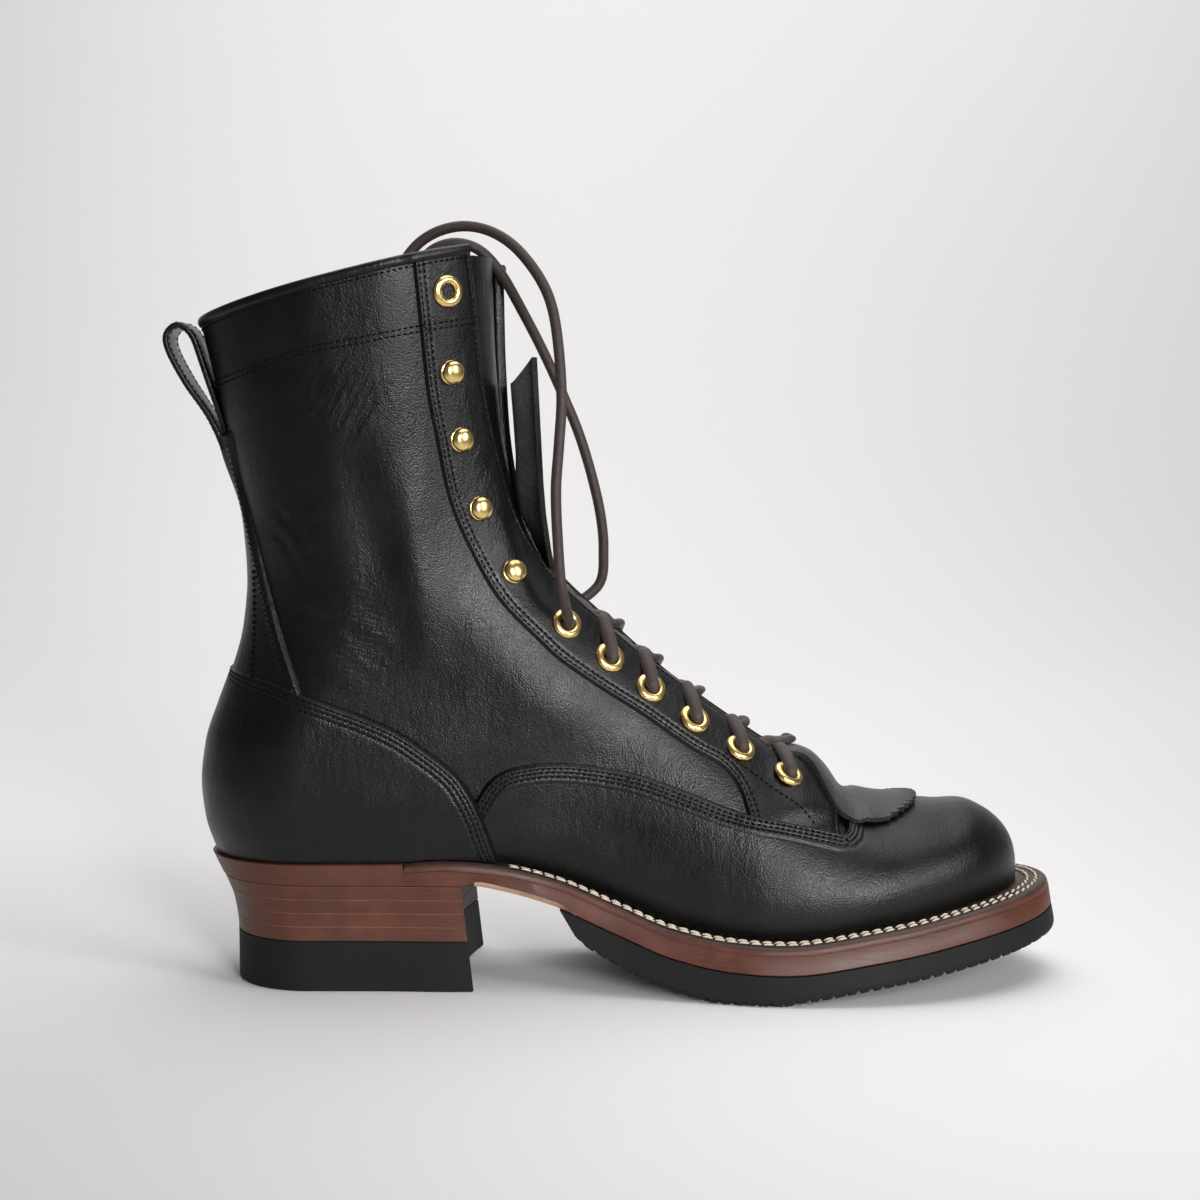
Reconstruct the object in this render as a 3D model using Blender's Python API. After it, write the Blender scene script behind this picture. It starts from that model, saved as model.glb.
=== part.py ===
"""Lineman boot for the right foot: a welted leather boot with a stacked heel, a laced throat and a fringed
false tongue. Sizes are in millimetres until the meshes are made. A station is a distance ahead of the
sole's rear edge, a height is above the floor, and a side distance is negative on the outer side of the foot.
"""

import math
from collections import namedtuple

import bmesh
import bpy
import numpy as np

MM = 0.001
OUTER, INNER = -1, 1
SIDES = {"outer": OUTER, "inner": INNER}
GAP = 0.3
WELD, SLIVER = 0.005, 0.002

# How finely curves are sampled, and how deep and how often a surface point is searched for.
ROUTE_SAMPLES, RIDGE_SAMPLES, EDGE_SAMPLES = 20, 3000, 400
SEARCH_DEPTH, SEARCH_HALVINGS = 30.0, 40

# Where the middle of the boot's box lies, so that the part stands centred on its origin.
MIDDLE_STATION = 146.9
MIDDLE_SIDE = -0.6

# Leather and rubber thicknesses.
WALL = 2.2
COUNTER_THICK = 2.0
COUNTER_GAP = 0.6
EYESTAY_THICK = 1.2
TONGUE_THICK = 2.4
TONGUE_GAP = 1.6
KILTIE_THICK = 2.0
WELT_THICK = 3.2
INSOLE_THICK = 3.6
LACE_RADIUS = 1.9

# The toe: where its rounding starts, the tip of the upper, and how full it is seen from above.
TOE_START, TOE_TIP, TOE_FULLNESS = 235.0, 292.2, 2.35
BULGE_HEIGHT = 16.0

# Where the leg's round sections hand over to the foot's arched ones: station at the floor of the heel,
# its slope against height, and the length of the change.
HANDOVER_STATION, HANDOVER_SLOPE, HANDOVER_LENGTH, HANDOVER_HEIGHT = 78.0, 0.75, 50.0, 46.0

# The collar line, rising to the front from its back height.
COLLAR_BACK, COLLAR_RISE, COLLAR_SAG = 235.2, 0.27, 0.0003

# The throat: where its lower end starts to round and where it closes.
THROAT_ROUND, THROAT_END = 211.0, 224.0

# The welt stops a little ahead of the heel's middle, and the rubber sole stops under the waist.
WELT_REAR, WELT_STEP, INSOLE_STEP = 73.0, 1.0, 3.0
RUBBER_REAR_TOP, RUBBER_REAR_BOTTOM = 127.0, 134.7

# The forefoot's edges flare outwards to the floor. Each layer's edge is drawn at a height above the tread.
SOLE_FLARE, FLARE_FROM, FLARE_FULL = 0.15, 90.0, 150.0
RUBBER_TOP_RISE, MIDSOLE_LOW_RISE, MIDSOLE_TOP_RISE, WELT_RISE = 9.6, 10.0, 17.0, 19.0

# The heel: top of the stack, top of its rubber lift, number of leather lifts and the breast's shape.
STACK_TOP, TOP_LIFT_HEIGHT, LIFTS = 37.4, 18.0, 4
BREAST_STATION, BREAST_SLOPE, BREAST_HOLLOW = 92.6, 0.115, 5.0
STACK_FRONT, HEEL_FADE_END = 97.0, 125.0

Sole = namedtuple("Sole", "station seat band margin")
SOLE = (
    Sole(0, 45.0, 37.4, 3.6),
    Sole(66, 45.2, 37.4, 3.8),
    Sole(86, 46.5, 37.4, 4.6),
    Sole(97, 45.9, 37.4, 5.2),
    Sole(106, 44.8, 35.8, 5.8),
    Sole(126, 39.8, 30.2, 7.8),
    Sole(147, 31.4, 21.6, 10.0),
    Sole(167, 24.0, 14.2, 10.9),
    Sole(188, 20.6, 10.8, 11.3),
    Sole(203, 20.2, 10.4, 11.3),
    Sole(239, 24.6, 14.8, 11.3),
    Sole(272, 30.0, 20.2, 12.4),
    Sole(307, 35.4, 25.4, 14.4),
)

Tread = namedtuple("Tread", "station height")
TREAD = (
    Tread(127, 22.5),
    Tread(147, 11.0),
    Tread(157, 6.6),
    Tread(167, 3.3),
    Tread(177, 0.9),
    Tread(185, 0.0),
    Tread(203, 0.0),
    Tread(211, 1.2),
    Tread(242, 6.3),
    Tread(287, 13.6),
    Tread(307, 17.0),
)

# Foot sections: the middle line's shift, half widths at the feather line, how far the sides swell above it,
# and how flat the crown is.
Foot = namedtuple("Foot", "station axis outer inner swell_outer swell_inner crown")
FOOT = (
    Foot(60, 0.0, 31.0, 30.5, 2.5, 2.5, 3.0),
    Foot(100, 0.0, 28.8, 25.5, 4.0, 5.0, 3.0),
    Foot(123, 0.0, 28.5, 22.8, 4.5, 6.5, 3.0),
    Foot(144, 0.5, 31.0, 23.0, 4.0, 6.5, 3.0),
    Foot(166, 1.0, 36.0, 26.5, 3.5, 5.0, 2.8),
    Foot(184, 1.6, 41.2, 31.2, 3.0, 3.5, 2.6),
    Foot(200, 2.0, 45.0, 35.3, 2.5, 3.0, 2.5),
    Foot(215, 2.5, 46.0, 38.0, 2.5, 2.5, 2.4),
    Foot(230, 3.0, 45.4, 38.8, 2.5, 2.5, 2.5),
    Foot(246, 3.6, 43.4, 38.6, 2.5, 2.5, 2.7),
    Foot(262, 4.2, 41.0, 38.0, 2.2, 2.2, 2.9),
    Foot(293, 5.0, 37.0, 36.0, 1.5, 1.5, 3.0),
)

# The line over the top of the foot and up the front of the leg, before the toe is rounded off.
Ridge = namedtuple("Ridge", "station height")
RIDGE = (
    Ridge(106.8, 266.0),
    Ridge(108.2, 222.0),
    Ridge(111.2, 190.0),
    Ridge(117.2, 165.0),
    Ridge(127.6, 146.4),
    Ridge(145.0, 128.8),
    Ridge(168.0, 109.2),
    Ridge(200.0, 84.6),
    Ridge(222.0, 70.6),
    Ridge(234.0, 63.4),
    Ridge(246.0, 60.6),
    Ridge(262.0, 61.2),
    Ridge(276.0, 65.2),
    Ridge(293.0, 65.6),
)

# Leg sections by height: the back seam's station, half width, and how long the back and front take to round.
Leg = namedtuple("Leg", "height back half back_round front_round")
LEG = (
    Leg(46, 4.8, 31.0, 34.0, 70.0),
    Leg(58, 1.0, 33.2, 35.0, 70.0),
    Leg(70, -0.2, 34.4, 36.0, 70.0),
    Leg(84, 1.4, 34.6, 37.0, 66.0),
    Leg(98, 6.0, 34.0, 39.0, 62.0),
    Leg(111, 10.8, 33.8, 41.0, 60.0),
    Leg(126, 14.8, 34.0, 42.0, 58.0),
    Leg(143, 16.4, 34.8, 43.0, 56.0),
    Leg(160, 15.4, 36.2, 44.0, 53.0),
    Leg(188, 10.2, 38.8, 46.0, 49.0),
    Leg(212, 4.6, 40.8, 48.0, 47.0),
    Leg(240, -1.9, 42.6, 50.0, 45.0),
    Leg(270, -9.0, 43.8, 50.0, 45.0),
)

# Half widths of the open throat by the ridge's height.
Throat = namedtuple("Throat", "height outer inner")
THROAT = (
    Throat(66, 11.0, 11.0),
    Throat(95, 11.5, 11.5),
    Throat(127, 13.0, 13.0),
    Throat(150, 15.0, 14.0),
    Throat(182, 18.4, 14.0),
    Throat(213, 23.4, 13.0),
    Throat(266, 29.5, 12.0),
)

# The heel's side by height: how far its back and its sides lie inside the sole's edge.
HeelSide = namedtuple("HeelSide", "height back flank")
HEEL_SIDE = (
    HeelSide(0, 9.3, 1.8),
    HeelSide(18, 9.3, 1.8),
    HeelSide(28.6, 7.7, 1.4),
    HeelSide(36, 4.6, 0.8),
    HeelSide(45, 0.0, 0.0),
)

# The counter's upper edge from the back seam to its front corner, then down its front edge.
CounterEdge = namedtuple("CounterEdge", "along station height")
COUNTER_TOP = (
    CounterEdge(0.0, 11.0, 111.0),
    CounterEdge(0.3, 38.8, 105.0),
    CounterEdge(0.6, 66.5, 94.6),
    CounterEdge(0.85, 86.5, 82.0),
    CounterEdge(1.0, 96.0, 71.0),
)
COUNTER_FRONT = (
    CounterEdge(0.0, 96.0, 71.0),
    CounterEdge(0.5, 101.5, 58.0),
    CounterEdge(1.0, 105.5, 45.9),
)

# Lace fittings up the throat, lowest first.
Fitting = namedtuple("Fitting", "kind station height")
FITTINGS = (
    Fitting("eyelet", 206.4, 73.6),
    Fitting("eyelet", 189.8, 83.5),
    Fitting("eyelet", 173.6, 93.8),
    Fitting("eyelet", 158.2, 104.8),
    Fitting("eyelet", 143.8, 115.7),
    Fitting("eyelet", 128.8, 127.8),
    Fitting("hook", 110.3, 146.3),
    Fitting("hook", 98.8, 168.6),
    Fitting("hook", 92.6, 192.4),
    Fitting("hook", 89.6, 215.4),
    Fitting("eyelet", 88.5, 242.7),
)
LACED_EYELETS = 6

# Turned profiles of the fittings: radius and height above the leather.
Turn = namedtuple("Turn", "radius height")
EYELET_PROFILE = (Turn(2.4, 0.0), Turn(2.4, 0.9), Turn(3.7, 1.3), Turn(5.0, 0.6), Turn(5.0, 0.0))
HOOK_PROFILE = (
    Turn(4.2, 0.0),
    Turn(4.2, 0.8),
    Turn(1.9, 1.2),
    Turn(1.9, 2.8),
    Turn(4.0, 3.6),
    Turn(3.4, 5.6),
    Turn(1.7, 6.8),
)
TURNED_SIDES = 10

# The free upper end of the false tongue, top first: half width and how far its edges curl behind its middle.
KiltieEnd = namedtuple("KiltieEnd", "station height half curl")
KILTIE_END = (
    KiltieEnd(118.6, 221.0, 9.0, 4.0),
    KiltieEnd(119.0, 216.0, 14.5, 8.0),
    KiltieEnd(119.6, 204.0, 16.0, 9.0),
    KiltieEnd(120.3, 186.0, 15.5, 8.0),
    KiltieEnd(121.6, 168.0, 13.5, 6.0),
)
# Its part between the facings and over the vamp: ridge station, half width and height above the ridge.
KiltieRow = namedtuple("KiltieRow", "station half lift")
KILTIE_ROWS = (
    KiltieRow(129.0, 10.0, -1.1),
    KiltieRow(145.0, 9.6, -1.1),
    KiltieRow(168.0, 9.2, -1.1),
    KiltieRow(190.0, 9.0, -1.1),
    KiltieRow(203.0, 9.0, -0.7),
    KiltieRow(213.0, 9.4, 2.6),
    KiltieRow(222.0, 14.0, 2.8),
    KiltieRow(230.0, 22.0, 2.8),
    KiltieRow(238.0, 24.5, 2.8),
)
KILTIE_TIP, KILTIE_TIP_DROP, KILTIE_TEETH, KILTIE_TOOTH = 254.0, 11.0, 7, 2.6
KILTIE_TIP_RISE, KILTIE_TIP_NARROWING, KILTIE_CURL_NARROWING = 1.4, 3.0, 0.3

# The tongue: ridge height and half width from its sewn lower end to its top.
TongueRow = namedtuple("TongueRow", "height half")
TONGUE = (
    TongueRow(66.5, 16.0),
    TongueRow(75.0, 19.0),
    TongueRow(85.0, 21.0),
    TongueRow(100.0, 22.0),
    TongueRow(116.0, 23.0),
    TongueRow(130.0, 24.0),
    TongueRow(145.0, 25.0),
    TongueRow(162.0, 26.0),
    TongueRow(180.0, 27.0),
    TongueRow(198.0, 28.0),
    TongueRow(216.0, 29.0),
    TongueRow(234.0, 30.0),
    TongueRow(246.0, 30.0),
)

# The pull loop's middle line, from its inner strand's foot over the top to its outer strand's foot.
LoopPoint = namedtuple("LoopPoint", "station height")
PULL_LOOP = (
    LoopPoint(8.0, 190.5),
    LoopPoint(4.4, 205.0),
    LoopPoint(0.4, 220.0),
    LoopPoint(-2.6, 228.8),
    LoopPoint(-7.4, 232.4),
    LoopPoint(-11.4, 229.2),
    LoopPoint(-10.8, 223.4),
    LoopPoint(-5.2, 212.6),
    LoopPoint(2.2, 201.0),
    LoopPoint(5.6, 190.5),
)
LOOP_WIDTH, LOOP_THICK = 20.0, 2.0

# The lace's free ends: station, side distance and height from the sixth eyelet to where each stops.
RoutePoint = namedtuple("RoutePoint", "station side height")
LACE_END_OUTER = (
    RoutePoint(129.4, -30.4, 131.2),
    RoutePoint(127.8, -32.4, 141.0),
    RoutePoint(126.5, -33.0, 157.8),
    RoutePoint(125.9, -33.0, 175.0),
    RoutePoint(126.5, -32.0, 190.0),
    RoutePoint(127.0, -29.0, 206.0),
    RoutePoint(125.8, -25.0, 223.2),
    RoutePoint(123.4, -20.0, 238.0),
    RoutePoint(119.0, -15.0, 248.4),
    RoutePoint(111.6, -10.0, 259.0),
    RoutePoint(102.6, -6.0, 265.0),
    RoutePoint(93.0, -4.0, 267.0),
    RoutePoint(83.4, -3.0, 265.0),
    RoutePoint(75.6, -2.0, 259.8),
    RoutePoint(70.4, -2.0, 251.6),
    RoutePoint(69.0, -2.0, 242.0),
)
LACE_END_INNER = (
    RoutePoint(131.5, 29.6, 132.2),
    RoutePoint(138.6, 29.0, 139.0),
    RoutePoint(141.6, 28.0, 150.9),
    RoutePoint(140.8, 27.0, 163.7),
    RoutePoint(137.4, 26.0, 178.5),
    RoutePoint(132.3, 25.0, 193.3),
    RoutePoint(126.9, 24.0, 206.1),
    RoutePoint(119.4, 21.0, 222.4),
    RoutePoint(112.4, 15.0, 237.2),
    RoutePoint(105.2, 8.0, 251.6),
    RoutePoint(97.4, 5.0, 259.6),
    RoutePoint(88.0, 4.5, 261.6),
    RoutePoint(79.4, 5.0, 257.6),
    RoutePoint(76.0, 5.0, 248.0),
)
LACE_STEP, STRAND_STEP = 8.0, 6.0
TUBE_SIDES, TUBE_GUIDE = 6, (0.31, 0.22, 0.93)

# A crossing's strand: heights above the facing and above the throat, how far ahead of its eyelet each side's
# strand passes the facing's edge, and its place between two eyelets at the crossing and at its far end.
STRAND_START, STRAND_EDGE_LIFT, STRAND_MIDDLE_LIFT, STRAND_FAR_LIFT = 5.8, 4.2, 1.5, 1.4
STRAND_AHEAD = {OUTER: 1.5, INNER: 4.0}
STRAND_EDGE, STRAND_CROSSING, STRAND_FAR, STRAND_END = 2.0, 0.3, 0.62, 8.0


def curve(rows, key, column):
    """A smooth function through one column of a table, which never swings past its rows."""
    at_rows = np.array([getattr(row, key) for row in rows], float)
    values = np.array([getattr(row, column) for row in rows], float)
    step = np.diff(at_rows)
    slope = np.diff(values) / step
    tangent = np.zeros(len(values))
    tangent[0], tangent[-1] = slope[0], slope[-1]
    before, after = slope[:-1], slope[1:]
    weight_before = 2 * step[1:] + step[:-1]
    weight_after = step[1:] + 2 * step[:-1]
    for i in range(len(before)):
        if before[i] * after[i] > 0:
            total = weight_before[i] + weight_after[i]
            tangent[i + 1] = total / (weight_before[i] / before[i] + weight_after[i] / after[i])

    def value(at):
        at = np.clip(np.asarray(at, float), at_rows[0], at_rows[-1])
        i = np.clip(np.searchsorted(at_rows, at, side="right") - 1, 0, len(step) - 1)
        t = (at - at_rows[i]) / step[i]
        ends = (1 + 2 * t) * (1 - t) ** 2 * values[i] + t * t * (3 - 2 * t) * values[i + 1]
        return ends + step[i] * t * (1 - t) * ((1 - t) * tangent[i] - t * tangent[i + 1])

    return value


def ramp(value, start, end):
    """A smooth step from 0 at start to 1 at end."""
    t = np.clip((np.asarray(value, float) - start) / (end - start), 0, 1)
    return t * t * (3 - 2 * t)


def through(points, step):
    """Points at even steps along a smooth curve through a route's points."""
    points = np.array(points, float)
    padded = np.vstack([2 * points[0] - points[1], points, 2 * points[-1] - points[-2]])
    dense = []
    for p0, p1, p2, p3 in zip(padded, padded[1:], padded[2:], padded[3:]):
        for t in np.arange(ROUTE_SAMPLES) / ROUTE_SAMPLES:
            bend = 2 * p0 - 5 * p1 + 4 * p2 - p3
            twist = 3 * p1 - p0 - 3 * p2 + p3
            dense.append(p1 + 0.5 * t * ((p2 - p0) + t * (bend + t * twist)))
    dense.append(points[-1])
    return even(np.array(dense), step)


def even(line, step):
    """The polyline's points at even lengths of about one step."""
    lengths = np.concatenate([[0], np.cumsum(np.linalg.norm(np.diff(line, axis=0), axis=1))])
    count = max(2, round(lengths[-1] / step) + 1)
    at = np.linspace(0, lengths[-1], count)
    return np.column_stack([np.interp(at, lengths, column) for column in line.T])


seat = curve(SOLE, "station", "seat")
band = curve(SOLE, "station", "band")
margin = curve(SOLE, "station", "margin")
tread = curve(TREAD, "station", "height")
axis = curve(FOOT, "station", "axis")
crown = curve(FOOT, "station", "crown")
feather_half = {side: curve(FOOT, "station", name) for name, side in SIDES.items()}
swell = {side: curve(FOOT, "station", "swell_" + name) for name, side in SIDES.items()}
throat_half = {side: curve(THROAT, "height", name) for name, side in SIDES.items()}
roof = curve(RIDGE, "station", "height")
back = curve(LEG, "height", "back")
leg_half = curve(LEG, "height", "half")
back_round = curve(LEG, "height", "back_round")
front_round = curve(LEG, "height", "front_round")
heel_back = curve(HEEL_SIDE, "height", "back")
heel_flank = curve(HEEL_SIDE, "height", "flank")
HEEL_FEATHER = float(back(seat(0)))
LEG_FRONT_STATIONS = np.linspace(RIDGE[0].station, TOE_START, RIDGE_SAMPLES)
LEG_FRONT_HEIGHTS = roof(LEG_FRONT_STATIONS)


def feather(station):
    """Height of the upper's lower edge."""
    return seat(station) + GAP


def collar(station):
    """Height of the collar's edge."""
    ahead = np.asarray(station, float) + 1
    return COLLAR_BACK + COLLAR_RISE * ahead - COLLAR_SAG * ahead**2


def front(height):
    """Station of the ridge line on the front of the leg and instep."""
    return np.interp(-np.asarray(height, float), -LEG_FRONT_HEIGHTS, LEG_FRONT_STATIONS)


def rounding(share):
    """An ellipse's square: 0 at the edge, 1 from where the rounding is complete."""
    share = np.asarray(share, float)
    return np.where(share < 0, 2 * share, 1 - (1 - np.clip(share, 0, 1)) ** 2)


def toe_share(station):
    """How much of the section's square the toe's rounding has taken."""
    share = np.clip((np.asarray(station, float) - TOE_START) / (TOE_TIP - TOE_START), 0, None)
    return share**TOE_FULLNESS


def ridge_height(station):
    """Height of the closed form's top line, with the toe rounded off."""
    low = feather(station)
    left = np.clip(1 - toe_share(station), 0, 1)
    return low + (roof(station) - low) * left ** (1 / crown(station))


def half_square(side, station, height):
    """Square of the last's half width at a station and height: negative outside its side outline."""
    low = feather(station)
    above = np.asarray(height, float) - low
    wide = feather_half[side](station) + swell[side](station) * rounding(above / BULGE_HEIGHT)
    rise = np.clip(above / (roof(station) - low), 0, None)
    foot = wide**2 * (1 - rise ** crown(station) - toe_share(station))
    behind = (station - back(height)) / back_round(height)
    ahead = (front(height) - station) / front_round(height)
    leg_front = np.where(height < ridge_height(TOE_START), 1, rounding(ahead))
    leg = leg_half(height) ** 2 * rounding(behind) * leg_front
    start = HANDOVER_STATION + HANDOVER_SLOPE * (height - HANDOVER_HEIGHT)
    share = ramp(station, start, start + HANDOVER_LENGTH)
    return share * foot + (1 - share) * leg


def place(side, station, height, lift=0.0):
    """Points of the last's surface, moved out by lift along its normal."""
    station, height = np.broadcast_arrays(np.asarray(station, float), np.asarray(height, float))
    small = 0.4
    half = np.sqrt(np.clip(half_square(side, station, height), 0, None))
    across = side * half
    by_station = half_square(side, station + small, height) - half_square(side, station - small, height)
    by_height = half_square(side, station, height + small) - half_square(side, station, height - small)
    lean = (axis(station + small) - axis(station - small)) / (2 * small)
    normal = np.stack(
        [-by_station / (2 * small) - 2 * across * lean, 2 * across, -by_height / (2 * small)], axis=-1
    )
    normal /= np.linalg.norm(normal, axis=-1, keepdims=True)
    points = np.stack([station, axis(station) + across, height], axis=-1)
    return points + np.asarray(lift)[..., None] * normal


def ridge_normal(station):
    """Outward direction of the ridge line in the side view."""
    step = 0.3
    rise = (ridge_height(station + step) - ridge_height(station - step)) / (2 * step)
    normal = np.stack([-rise, np.ones_like(rise)], axis=-1)
    return normal / np.linalg.norm(normal, axis=-1, keepdims=True)


def below_ridge(side, station, half):
    """Station and height of the surface point whose half width is half, square below a ridge point."""
    station = np.asarray(station, float)
    half = np.broadcast_to(np.asarray(half, float), station.shape)
    top = np.stack([station, ridge_height(station)], axis=-1)
    normal = ridge_normal(station)
    near, far = np.zeros(station.shape), np.full(station.shape, SEARCH_DEPTH)
    for _ in range(SEARCH_HALVINGS):
        middle = (near + far) / 2
        at = top - middle[..., None] * normal
        inside = half_square(side, at[..., 0], at[..., 1]) > half**2
        far, near = np.where(inside, middle, far), np.where(inside, near, middle)
    at = top - far[..., None] * normal
    return at[..., 0], at[..., 1]


def over_ridge(station, side_distance, lift):
    """A surface point at a side distance, square across the ridge line."""
    from_axis = side_distance - float(axis(station))
    side = INNER if from_axis > 0 else OUTER
    at_station, at_height = below_ridge(side, np.array([station]), abs(from_axis))
    return place(side, at_station, at_height, lift)[0]


def throat_edge(side):
    """The throat's edge in the side view, from the collar's front corner to the throat's lower end."""
    station = front(np.linspace(RIDGE[0].height - 1, float(roof(THROAT_END)), EDGE_SAMPLES))
    station = np.maximum.accumulate(station)
    closing = np.clip((station - THROAT_ROUND) / (THROAT_END - THROAT_ROUND), 0, 1)
    half = throat_half[side](roof(station)) * np.sqrt(1 - closing**2)
    edge = np.column_stack(below_ridge(side, station, half))
    edge[-1] = THROAT_END, ridge_height(THROAT_END)
    return edge[edge[:, 1] < collar(edge[:, 0])]


HEEL_SPANS, THROAT_SPANS, TOE_SPANS, RISE_SPANS, CROWDING_SPANS = 10, 16, 8, 11, 4
COLLAR_TURN, SEAM_REACH = 0.74 * math.pi, 1.9
CORNER_FEATHER, THROAT_FEATHER, TOE_POLE = 62.0, 216.0, 271.0


def upper_grid(side):
    """Station and height of the upper's crossings: sections from back seam to toe, each from edge to top."""
    heel = (1 - np.cos(np.linspace(0, COLLAR_TURN, HEEL_SPANS + 1))) / (1 - math.cos(COLLAR_TURN))
    toe = np.sin(np.linspace(0, math.pi / 2, TOE_SPANS + 1))[1:]
    middle = np.linspace(0, 1, THROAT_SPANS + 1)[1:]
    low_station = np.concatenate(
        [
            HEEL_FEATHER + (CORNER_FEATHER - HEEL_FEATHER) * heel,
            CORNER_FEATHER + (THROAT_FEATHER - CORNER_FEATHER) * middle,
            THROAT_FEATHER + (TOE_TIP - THROAT_FEATHER) * toe,
        ]
    )
    low = np.column_stack([low_station, feather(low_station)])
    edge = throat_edge(side)
    back_top = float(back(collar(-1)))
    collar_station = back_top + (edge[0, 0] - back_top) * heel
    pole_station = THROAT_END + (TOE_POLE - THROAT_END) * toe
    edge_length = np.linalg.norm(np.diff(edge, axis=0), axis=1).sum()
    high = np.vstack(
        [
            np.column_stack([collar_station, collar(collar_station)]),
            even(edge, edge_length / THROAT_SPANS)[1:],
            np.column_stack([pole_station, ridge_height(pole_station)]),
        ]
    )
    plain = np.linspace(0, 1, RISE_SPANS + 1)
    crowded = np.sin(plain * math.pi / 2)
    closed_from = HEEL_SPANS + THROAT_SPANS
    to_ridge = ramp(np.arange(len(low)), closed_from - CROWDING_SPANS, closed_from)
    rise = plain + to_ridge[:, None] * (crowded - plain)
    grid = low[:, None] + rise[..., None] * (high - low)[:, None]
    seam_height = grid[0, :, 1]
    seam_bow = back(seam_height) - grid[0, :, 0]
    near_seam = np.clip(1 - (low_station - HEEL_FEATHER) / (SEAM_REACH * CORNER_FEATHER), 0, 1)
    grid[..., 0] += near_seam[:, None] * seam_bow
    nose = TOE_TIP - (TOE_TIP - TOE_POLE) * np.linspace(0, 1, EDGE_SAMPLES) ** 3
    nose_steps = np.hypot(np.diff(nose), np.diff(ridge_height(nose)))
    nose_length = np.concatenate([[0], np.cumsum(nose_steps)])
    nose_station = np.interp(crowded * nose_length[-1], nose_length, nose)
    on_nose = np.column_stack([nose_station, ridge_height(nose_station)])
    near_toe = np.clip(1 - (TOE_TIP - low_station) / (TOE_TIP - THROAT_FEATHER), 0, 1)
    return grid + near_toe[:, None, None] * (on_nose - grid[-1])


def world(points):
    """Boot millimetres to the part's metres."""
    points = np.asarray(points, float)
    return (points - np.array([MIDDLE_STATION, MIDDLE_SIDE, 0.0])) * MM


def finish(name, colour, roughness, metallic=0.0):
    """A plain material of its own for one kind of piece."""
    material = bpy.data.materials.get(name)
    if material is None:
        material = bpy.data.materials.new(name)
        material.use_nodes = True
        shader = material.node_tree.nodes["Principled BSDF"]
        shader.inputs["Base Color"].default_value = (*colour, 1.0)
        shader.inputs["Roughness"].default_value = roughness
        shader.inputs["Metallic"].default_value = metallic
        material.diffuse_color = (*colour, 1.0)
    return material


def black_leather():
    return finish("black_leather", (0.012, 0.011, 0.011), 0.42)


def brown_sole_leather():
    return finish("brown_sole_leather", (0.055, 0.018, 0.010), 0.45)


def insole_leather():
    return finish("insole_leather", (0.30, 0.17, 0.09), 0.65)


def black_rubber():
    return finish("black_rubber", (0.010, 0.010, 0.010), 0.6)


def brass():
    return finish("brass", (0.60, 0.36, 0.12), 0.28, 1.0)


def lace_leather():
    return finish("lace_leather", (0.075, 0.032, 0.016), 0.5)


def make_part(name, points, faces, material, smooth_angle=40):
    """One closed piece from points in boot millimetres. Points that coincide are welded."""
    mesh = bpy.data.meshes.new(name)
    mesh.from_pydata([tuple(point) for point in world(points)], [], [tuple(map(int, f)) for f in faces])
    work = bmesh.new()
    work.from_mesh(mesh)
    bmesh.ops.remove_doubles(work, verts=work.verts, dist=WELD * MM)
    bmesh.ops.dissolve_degenerate(work, edges=work.edges, dist=SLIVER * MM)
    bmesh.ops.recalc_face_normals(work, faces=work.faces)
    if work.calc_volume(signed=True) < 0:
        bmesh.ops.reverse_faces(work, faces=work.faces)
    work.to_mesh(mesh)
    work.free()
    mesh.shade_smooth()
    mesh.set_sharp_from_angle(angle=math.radians(smooth_angle))
    mesh.materials.append(material)
    part = bpy.data.objects.new(name, mesh)
    bpy.context.scene.collection.objects.link(part)
    return part


def grid_faces(rows, columns, start=0):
    """Quads of a grid of points counted row by row."""
    corners = [start + i * columns + j for i in range(rows - 1) for j in range(columns - 1)]
    return [(corner, corner + 1, corner + columns + 1, corner + columns) for corner in corners]


def sheet_solid(outside, inside):
    """Points and faces of a sheet between two grids, closed along its four borders."""
    rows, columns = outside.shape[:2]
    count = rows * columns
    points = np.vstack([outside.reshape(-1, 3), inside.reshape(-1, 3)])
    faces = grid_faces(rows, columns) + grid_faces(rows, columns, count)
    border = list(range(columns))
    border += [i * columns + columns - 1 for i in range(1, rows)]
    border += [(rows - 1) * columns + j for j in range(columns - 2, -1, -1)]
    border += [i * columns for i in range(rows - 2, 0, -1)]
    for first, second in zip(border, border[1:] + border[:1]):
        faces.append((first, second, second + count, first + count))
    return points, faces


def make_upper():
    """The hollow upper: two half sheets sewn along the back seam and over the toe, with a real wall."""
    points, faces = [], []
    closed_from = HEEL_SPANS + THROAT_SPANS
    for side in SIDES.values():
        grid = upper_grid(side)
        sections, rises = grid.shape[:2]
        skins = []
        for lift in (0.0, -WALL):
            skins.append(len(points))
            faces += grid_faces(sections, rises, len(points))
            points += list(place(side, grid[..., 0], grid[..., 1], lift).reshape(-1, 3))
        out, into = skins
        for i in range(sections - 1):
            low, next_low = i * rises, (i + 1) * rises
            faces.append((out + low, out + next_low, into + next_low, into + low))
            if i < closed_from:
                high, next_high = low + rises - 1, next_low + rises - 1
                faces.append((out + high, out + next_high, into + next_high, into + high))
    return make_part("upper", points, faces, black_leather())


def feather_line(count):
    """The feather line in plan: outer and inner points at the same stations, from heel to toe."""
    turn = np.linspace(0, math.pi, count)
    station = HEEL_FEATHER + (TOE_TIP - HEEL_FEATHER) * (1 - np.cos(turn)) / 2
    return station, {side: place(side, station, feather(station))[:, :2] for side in SIDES.values()}


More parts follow.
